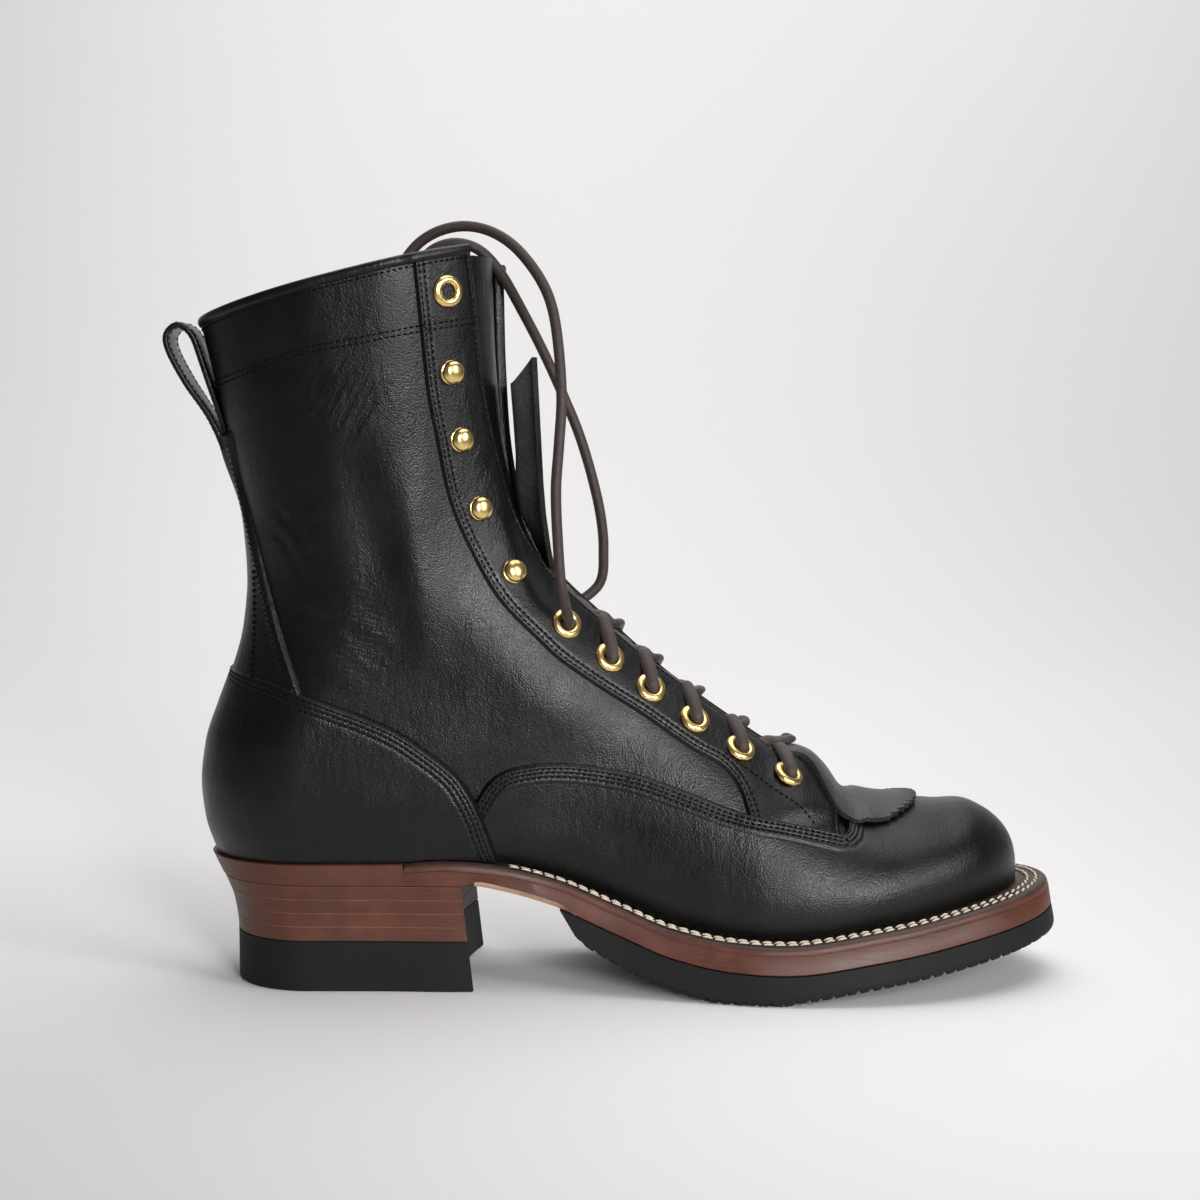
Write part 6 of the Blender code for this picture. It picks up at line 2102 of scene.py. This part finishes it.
@dataclass
class Studio:
    """The camera, a seamless pale floor and soft lights."""

    camera_at: tuple[float, float, float] = (-0.0059, -0.7962, 0.2056)
    looks_at: tuple[float, float, float] = (-0.0059, 0.0006, 0.1345)
    view_angle: float = 30.15
    # The front lights are gridded, so that they light the boot and not the floor that its leather mirrors.
    lights: tuple[SoftLight, ...] = (
        SoftLight("overhead_softbox", (0.15, 0.15, 1.05), (0.1, 0.1, 0.0), 1.2, 0.9, 3.9, 118.0),
        SoftLight("front_strip", (0.36, -1.12, 0.42), (0.0, 0.0, 0.13), 0.28, 0.6, 0.95, 42.0),
        SoftLight("side_strip", (0.9, -0.65, 0.5), (0.0, 0.0, 0.15), 0.25, 0.6, 0.4, 42.0),
        SoftLight("backdrop_light", (0.1, 0.9, 1.25), (0.15, 1.8, 0.35), 1.8, 0.5, 13.0, 180.0),
    )
    paper_flat: tuple[float, ...] = (-2.2, -1.0, 0.0, 0.6)
    paper_turn: float = 0.9
    paper_wall: Span = (1.6, 2.6)
    paper_half: float = 3.0
    paper_sink: float = 0.0002
    world_light: float = 0.13

    def camera(self) -> None:
        """The camera at the photograph's viewing angle."""
        data = bpy.data.cameras.new("camera")
        data.sensor_fit = "AUTO"
        data.angle = math.radians(self.view_angle)
        data.clip_start, data.clip_end = 0.01, 50.0
        camera = bpy.data.objects.new("camera", data)
        camera.location = self.camera_at
        way = Vector(self.looks_at) - Vector(self.camera_at)
        camera.rotation_euler = way.to_track_quat("-Z", "Y").to_euler()
        bpy.context.scene.collection.objects.link(camera)
        bpy.context.scene.camera = camera

    def floor(self) -> None:
        """A sheet of pale paper that lies on the floor and sweeps up behind the boot."""
        turn = np.linspace(0, math.pi / 2, 24)
        run = [(y, 0.0) for y in self.paper_flat]
        run += [(self.paper_turn * (1 + math.sin(a)), self.paper_turn * (1 - math.cos(a))) for a in turn]
        run += [(2 * self.paper_turn, z) for z in self.paper_wall]
        across = np.linspace(-self.paper_half, self.paper_half, 13)
        grid = np.array([[(x, y, z - self.paper_sink) for x in across] for y, z in run])
        mesh = bpy.data.meshes.new("backdrop")
        mesh.from_pydata(grid.reshape(-1, 3).tolist(), [], grid_faces(*grid.shape[:2]).tolist())
        mesh.shade_smooth()
        mesh.materials.append(BACKDROP.material())
        floor = bpy.data.objects.new("backdrop", mesh)
        bpy.context.scene.collection.objects.link(floor)

    def light(self) -> None:
        """A soft box above, gridded strips in front, a wash on the backdrop and a dim even surround."""
        for light in self.lights:
            light.hang()
        world = bpy.data.worlds.new("studio")
        world.use_nodes = True
        surround = world.node_tree.nodes["Background"]
        surround.inputs["Color"].default_value = (1.0, 1.0, 1.0, 1.0)
        surround.inputs["Strength"].default_value = self.world_light
        bpy.context.scene.world = world
        bpy.context.scene.view_settings.view_transform = "Standard"
        bpy.context.scene.view_settings.look = "None"


def main() -> None:
    """Build the boot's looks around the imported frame."""
    logging.basicConfig(level=logging.INFO, format="%(message)s")
    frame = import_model()
    form = BootForm()
    studio = Studio()
    studio.camera()
    lacing = Lacing(form)
    for side in Side:
        lacing.end(side)
    thread = Stitching("upper_stitching", BLACK_THREAD, Slot.BLACK_LEATHER, pitch=2.1, length=1.55, thick=0.7)
    welt_thread = Stitching("welt_stitching", CREAM_THREAD, Slot.LACE, pitch=4.2, length=3.7, thick=0.88,
                            sides=10, rings=(-1.0, -0.92, -0.75, -0.5, -0.2, 0.2, 0.5, 0.75, 0.92, 1.0), slant=0.24)
    upper = Upper(form, thread)
    upper.shell()
    upper.counter()
    upper.vamp_edge()
    for side in Side:
        upper.eyestay(side)
    upper.backstay()
    upper.binding()
    upper.loose_rows()
    tongues = FalseTongue(form)
    tongues.inner_tongue()
    tongues.leaf()
    PullLoop(thread).strap()
    thread.piece()
    for kind in FittingKind:
        lacing.metal(kind)
    lacing.crossings()
    sole = Sole(form, welt_thread)
    sole.welt()
    welt_thread.piece()
    sole.midsole()
    sole.outsole()
    sole.heel()
    insole = frame["nodes"]["insole"]
    insole.data.materials.clear()
    insole.data.materials.append(INSOLE_LEATHER.material())
    log.info("insole: kept from the frame, with its own finish")
    studio.floor()
    studio.light()


if __name__ == "__main__":
    main()
